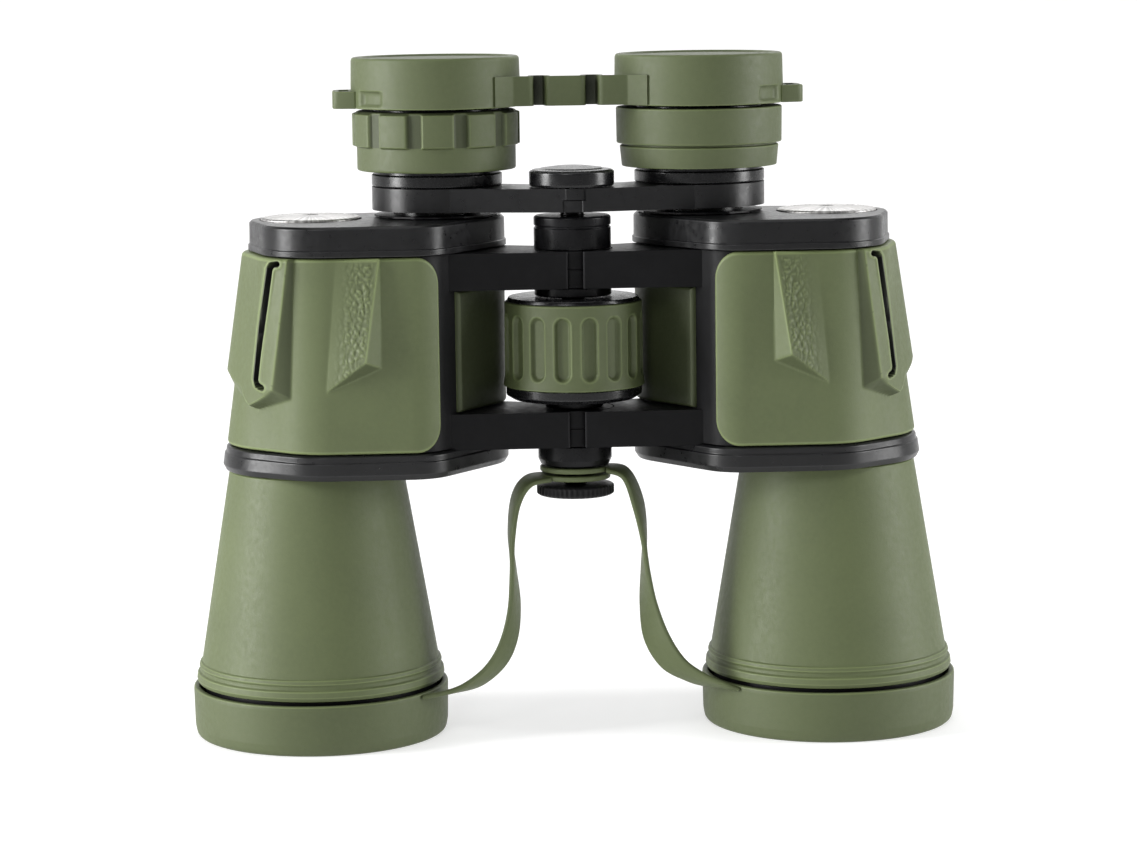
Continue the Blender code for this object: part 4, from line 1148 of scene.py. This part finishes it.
def spun_metal(name, at):
    """Bright metal spun on a lathe: fine rings round its middle, and painted reflection streaks across them
    in its colour.
    """
    n = Nodes(name)
    moved = n.add("ShaderNodeVectorMath", {"operation": "SUBTRACT"})
    n.put(moved.inputs[0], n.places)
    moved.inputs[1].default_value = Vector((at.x, at.y, COVER_TOP)) * MM
    length = n.add("ShaderNodeVectorMath", {"operation": "LENGTH"})
    n.put(length.inputs[0], moved.outputs[0])
    rings = n.noise_along(length.outputs["Value"], 6000, 3)
    turn = n.add("ShaderNodeTexGradient", {"gradient_type": "RADIAL"}, Vector=moved.outputs[0])
    # Painted reflection: radial streaks of lighter and deeper grey are put into the colour.
    streaks = n.noise_along(turn.outputs["Fac"], 70, 4)
    painted_reflection_streaks = n.mix(n.remap(streaks, 0.35, 0.65, 0, 1), (0.26, 0.25, 0.24), (0.62, 0.61, 0.6))
    base = n.mix(n.remap(rings, 0.3, 0.7, 0, 0.4), painted_reflection_streaks, (0.5, 0.5, 0.5))
    normal = n.bump(rings, 0.012, 0.5)
    tangent = n.add("ShaderNodeTangent", {"direction_type": "RADIAL", "axis": "Z"}).outputs[0]
    rough = n.remap(n.noise(300, 3), 0.3, 0.7, 0.3, 0.42)
    return n.set(Base_Color=base, Roughness=rough, Normal=normal, Metallic=1.0, Anisotropic=0.8,
                 Tangent=tangent)


def spring_steel(name):
    n = Nodes(name)
    base = n.mix(n.noise(400, 4), (0.42, 0.42, 0.44), (0.6, 0.6, 0.62))
    rough = n.remap(n.noise(1500, 3), 0.3, 0.7, 0.28, 0.42)
    return n.set(Base_Color=base, Roughness=rough, Normal=n.bump(n.noise(5000, 2), 0.01, 0.4), Metallic=1.0)


def glass(name, tint, coat):
    """Polished optical glass with a faint coloured coating and a trace of dust."""
    n = Nodes(name)
    dust = n.remap(n.noise(2500, 4, 0.7), 0.55, 0.8, 0.015, 0.12)
    base = n.mix(n.noise(30, 2), tint, shade(tint, 0.96))
    return n.set(Base_Color=base, Roughness=dust, Transmission_Weight=0.92, IOR=1.52, Coat_Weight=0.6,
                 Coat_Roughness=0.03, Coat_Tint=(*coat, 1))


MATERIALS = {
    "green_rubber": rubber("green_rubber_look", GREEN),
    "dark_rubber": rubber("dark_rubber_look", shade(GREEN, 0.84)),
    "strap_rubber": rubber("strap_look", GREEN, worn=0),
    "satin_black": black_plastic("satin_black_look", 0.32, 0.36),
    "gloss_black": black_plastic("gloss_black_look", 0.25, 0.36, 0.006),
    "black_rubber": rubber("black_rubber_look", (0.016, 0.016, 0.017)),
    "black_plastic": black_plastic("black_plastic_look"),
    "black_metal": black_metal("black_metal_look"),
    "spring_steel": spring_steel("spring_steel_look"),
    "coated_glass": glass("coated_glass_look", (0.95, 0.82, 0.85), (0.9, 0.35, 0.4)),
    "clear_glass": glass("clear_glass_look", (0.93, 0.97, 0.96), (0.5, 0.8, 0.6)),
}
# Pieces whose look isn't the one their slot is named for, by what they are called without left_ or right_.
LOOKS = {
    "cover_plate": "satin_black",
    "flange": "satin_black",
    "bridge_arm": "satin_black",
    "eyepiece_tube": "gloss_black",
    "focus_wheel_hub": "gloss_black",
    "bridge_cap": "gloss_black",
    "cap_strap": "strap_rubber",
    "focus_wheel_grip": "dark_rubber",
    "dioptre_ring": "dark_rubber",
    "eyepiece_ring": "dark_rubber",
    "rainguard_cup": "dark_rubber",
    "rainguard_link": "dark_rubber",
    "objective_cap": "dark_rubber",
}
SLOTS = {row["node"]: row["material_slot"] for row in frame["record"]["subparts"]}
BODIES = {node: body for body, members in frame["record"]["behaviour"]["bodies"].items() for node in members}


def mark(piece, label, values):
    layer = piece.data.attributes.new(label, "FLOAT", "POINT")
    layer.data.foreach_set("value", np.asarray(values, dtype=np.float32))


def mark_edges(piece):
    """Stores on each point how tightly the surface bends outward there, from 0 (gentle) to 1 (sharp)."""
    mesh = piece.data
    edge = np.empty(len(mesh.loops), dtype=np.int32)
    mesh.loops.foreach_get("edge_index", edge)
    sizes = np.empty(len(mesh.polygons), dtype=np.int32)
    mesh.polygons.foreach_get("loop_total", sizes)
    face = np.repeat(np.arange(len(sizes)), sizes)
    normal, middle = np.empty(len(sizes) * 3), np.empty(len(sizes) * 3)
    mesh.polygons.foreach_get("normal", normal)
    mesh.polygons.foreach_get("center", middle)
    normal, middle = normal.reshape(-1, 3), middle.reshape(-1, 3)
    order = np.argsort(edge, kind="stable")
    edge, face = edge[order], face[order]
    shared = np.nonzero(edge[1:] == edge[:-1])[0]
    first, second = face[shared], face[shared + 1]
    gap = middle[second] - middle[first]
    bend = np.arccos(np.clip(np.sum(normal[first] * normal[second], axis=1), -1, 1))
    outward = np.sum(gap * normal[first], axis=1) < 0
    tight = outward * bend / np.maximum(np.linalg.norm(gap, axis=1), 0.02 * MM)
    ends = np.empty(len(mesh.edges) * 2, dtype=np.int32)
    mesh.edges.foreach_get("vertices", ends)
    value = np.zeros(len(mesh.vertices))
    for end in ends.reshape(-1, 2)[edge[shared]].T:
        np.maximum.at(value, end, tight)
    mark(piece, "edge", smooth_step(0.6 / MM, 2 / MM, value))


def dress(piece, look):
    piece.data.materials.clear()
    piece.data.materials.append(look)


def stand_in(piece, node, look=None, rides=True):
    """Puts a fine piece in a CAD node's place, with a material chosen from its look or its slot, and on its
    body.
    """
    piece.name = f"{node}_shell"
    mark_edges(piece)
    kind = node.removeprefix("left_").removeprefix("right_")
    dress(piece, look or MATERIALS[LOOKS.get(kind, SLOTS[node])])
    if rides:
        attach(piece, BODIES[node])
    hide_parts(node)
    return piece


def extra(piece, name, body, slot):
    """A detail that has no CAD node of its own."""
    piece.name = name
    mark_edges(piece)
    dress(piece, MATERIALS[slot])
    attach(piece, body)
    return piece


# ---------------------------------------------------------------- the object

def add_shells(makers, *side, prefix=""):
    """Draws pieces and puts each in place of the CAD node that its function is named after."""
    for make in makers:
        node = prefix + make.__name__
        stand_in(make(*side, node), node)


def make_half(side, name):
    add_shells((body_armour, prism_housing), side, prefix=f"{name}_")
    for label, span in (("lower", LOWER_ARM), ("upper", UPPER_ARM)):
        extra(hinge_arm("arm", side, span), f"{name}_{label}_hinge_arm", f"{name}_half", "black_plastic")
    add_shells((cover_plate,), side, prefix=f"{name}_")
    disc = cover_disc(side, f"{name}_cover_disc")
    stand_in(disc, f"{name}_cover_disc", spun_metal(f"{name}_disc_look", place(side, OBJECTIVE)))
    add_shells((flange, barrel_sleeve, objective_tube, objective_cap), side, prefix=f"{name}_")
    strap = stand_in(cap_strap(side, f"{name}_cap_strap"), f"{name}_cap_strap", rides=False)
    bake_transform(strap)
    add_shells((bridge_arm, eyepiece_tube, eyecup, rainguard_cup), side, prefix=f"{name}_")


def make_middle():
    add_shells((focus_wheel_hub, focus_wheel_grip, hinge_top_tube, hinge_pin, focusing_screw, bridge_cap,
                tripod_cap, dioptre_ring, right_eyepiece_ring))
    link = stand_in(rainguard_link("rainguard_link"), "rainguard_link", rides=False)
    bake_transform(link)


def dress_frame():
    """Gives the CAD nodes that stay their materials."""
    for node, piece in frame["nodes"].items():
        if not piece.hide_render:
            dress(piece, MATERIALS[SLOTS[node]])
            piece.data.shade_smooth()
            piece.data.set_sharp_from_angle(angle=math.radians(32))


# ---------------------------------------------------------------- floor, lights, camera

def make_floor():
    """A pale floor that curves up behind into a plain backdrop."""
    width, front, back, bend, high = 4.0, -2.5, 1.6, 0.6, 3.0
    line = [(front, 0)]
    for step in range(13):
        turn = math.pi / 2 * step / 12
        line.append((back - bend + bend * math.sin(turn), bend - bend * math.cos(turn)))
    line.append((back, high))
    points = [(x, y, z) for x in (-width, width) for y, z in line]
    count = len(line)
    faces = [(k, k + 1, count + k + 1, count + k) for k in range(count - 1)]
    mesh = bpy.data.meshes.new("floor")
    mesh.from_pydata(points, [], faces)
    floor = new_object("floor", mesh)
    mesh.shade_smooth()
    n = Nodes("floor_look")
    base = n.mix(n.remap(n.noise(3, 3), 0.3, 0.7, 0, 1), (0.55, 0.55, 0.55), (0.58, 0.58, 0.58))
    dress(floor, n.set(Base_Color=base, Roughness=0.8, Specular_IOR_Level=0.2, Emission_Color=(1, 1, 1, 1),
                       Emission_Strength=0.55))


def area_light(name, at, aim, size, power):
    light = bpy.data.lights.new(name, "AREA")
    light.shape = "RECTANGLE"
    light.size, light.size_y = size
    light.energy = power
    lamp = bpy.data.objects.new(name, light)
    lamp.location = at
    lamp.rotation_euler = (Vector(aim) - Vector(at)).to_track_quat("-Z", "Y").to_euler()
    bpy.context.scene.collection.objects.link(lamp)


def make_lights():
    world = bpy.data.worlds.new("studio")
    world.use_nodes = True
    # The sky is as pale as the floor where it is seen, and dim as a light.
    links, nodes = world.node_tree.links, world.node_tree.nodes
    nodes["Background"].inputs["Color"].default_value = (1, 1, 1, 1)
    seen = nodes.new("ShaderNodeMapRange")
    seen.inputs["To Min"].default_value = 0.05
    seen.inputs["To Max"].default_value = 1.0
    links.new(nodes.new("ShaderNodeLightPath").outputs["Is Camera Ray"], seen.inputs["Value"])
    links.new(seen.outputs["Result"], nodes["Background"].inputs["Strength"])
    bpy.context.scene.world = world
    target = (0, 0, 0.09)
    area_light("left", (-1.2, -0.25, 0.4), target, (0.45, 0.9), 25)
    area_light("right", (1.2, -0.2, 0.4), target, (0.45, 0.9), 15)
    area_light("front", (-0.45, -1.3, 0.75), target, (0.4, 0.4), 4.5)
    area_light("top", (0, -0.1, 1.3), target, (0.9, 0.6), 2.5)
    area_light("back", (0.2, 1.1, 0.9), target, (1.2, 0.6), 4)


def make_camera():
    """A long lens in front of the left barrel, a little above the eyepieces and turned very slightly."""
    camera = bpy.data.cameras.new("camera")
    camera.lens = 108.9
    camera.sensor_width = 36
    camera.sensor_fit = "HORIZONTAL"
    eye = new_object("camera", camera)
    eye.location = (-0.0542, -0.8803, 0.2008)
    roll = -0.013
    aim = Vector((0.0601, 0.9886, -0.1381)).to_track_quat("-Z", "Y").to_matrix()
    eye.rotation_euler = (aim @ Matrix.Rotation(roll, 3, "Z")).to_euler()
    bpy.context.scene.camera = eye


make_camera()
make_lights()
make_floor()
for which, label in SIDES:
    make_half(which, label)
make_middle()
dress_frame()
bpy.context.scene.view_settings.view_transform = "Standard"
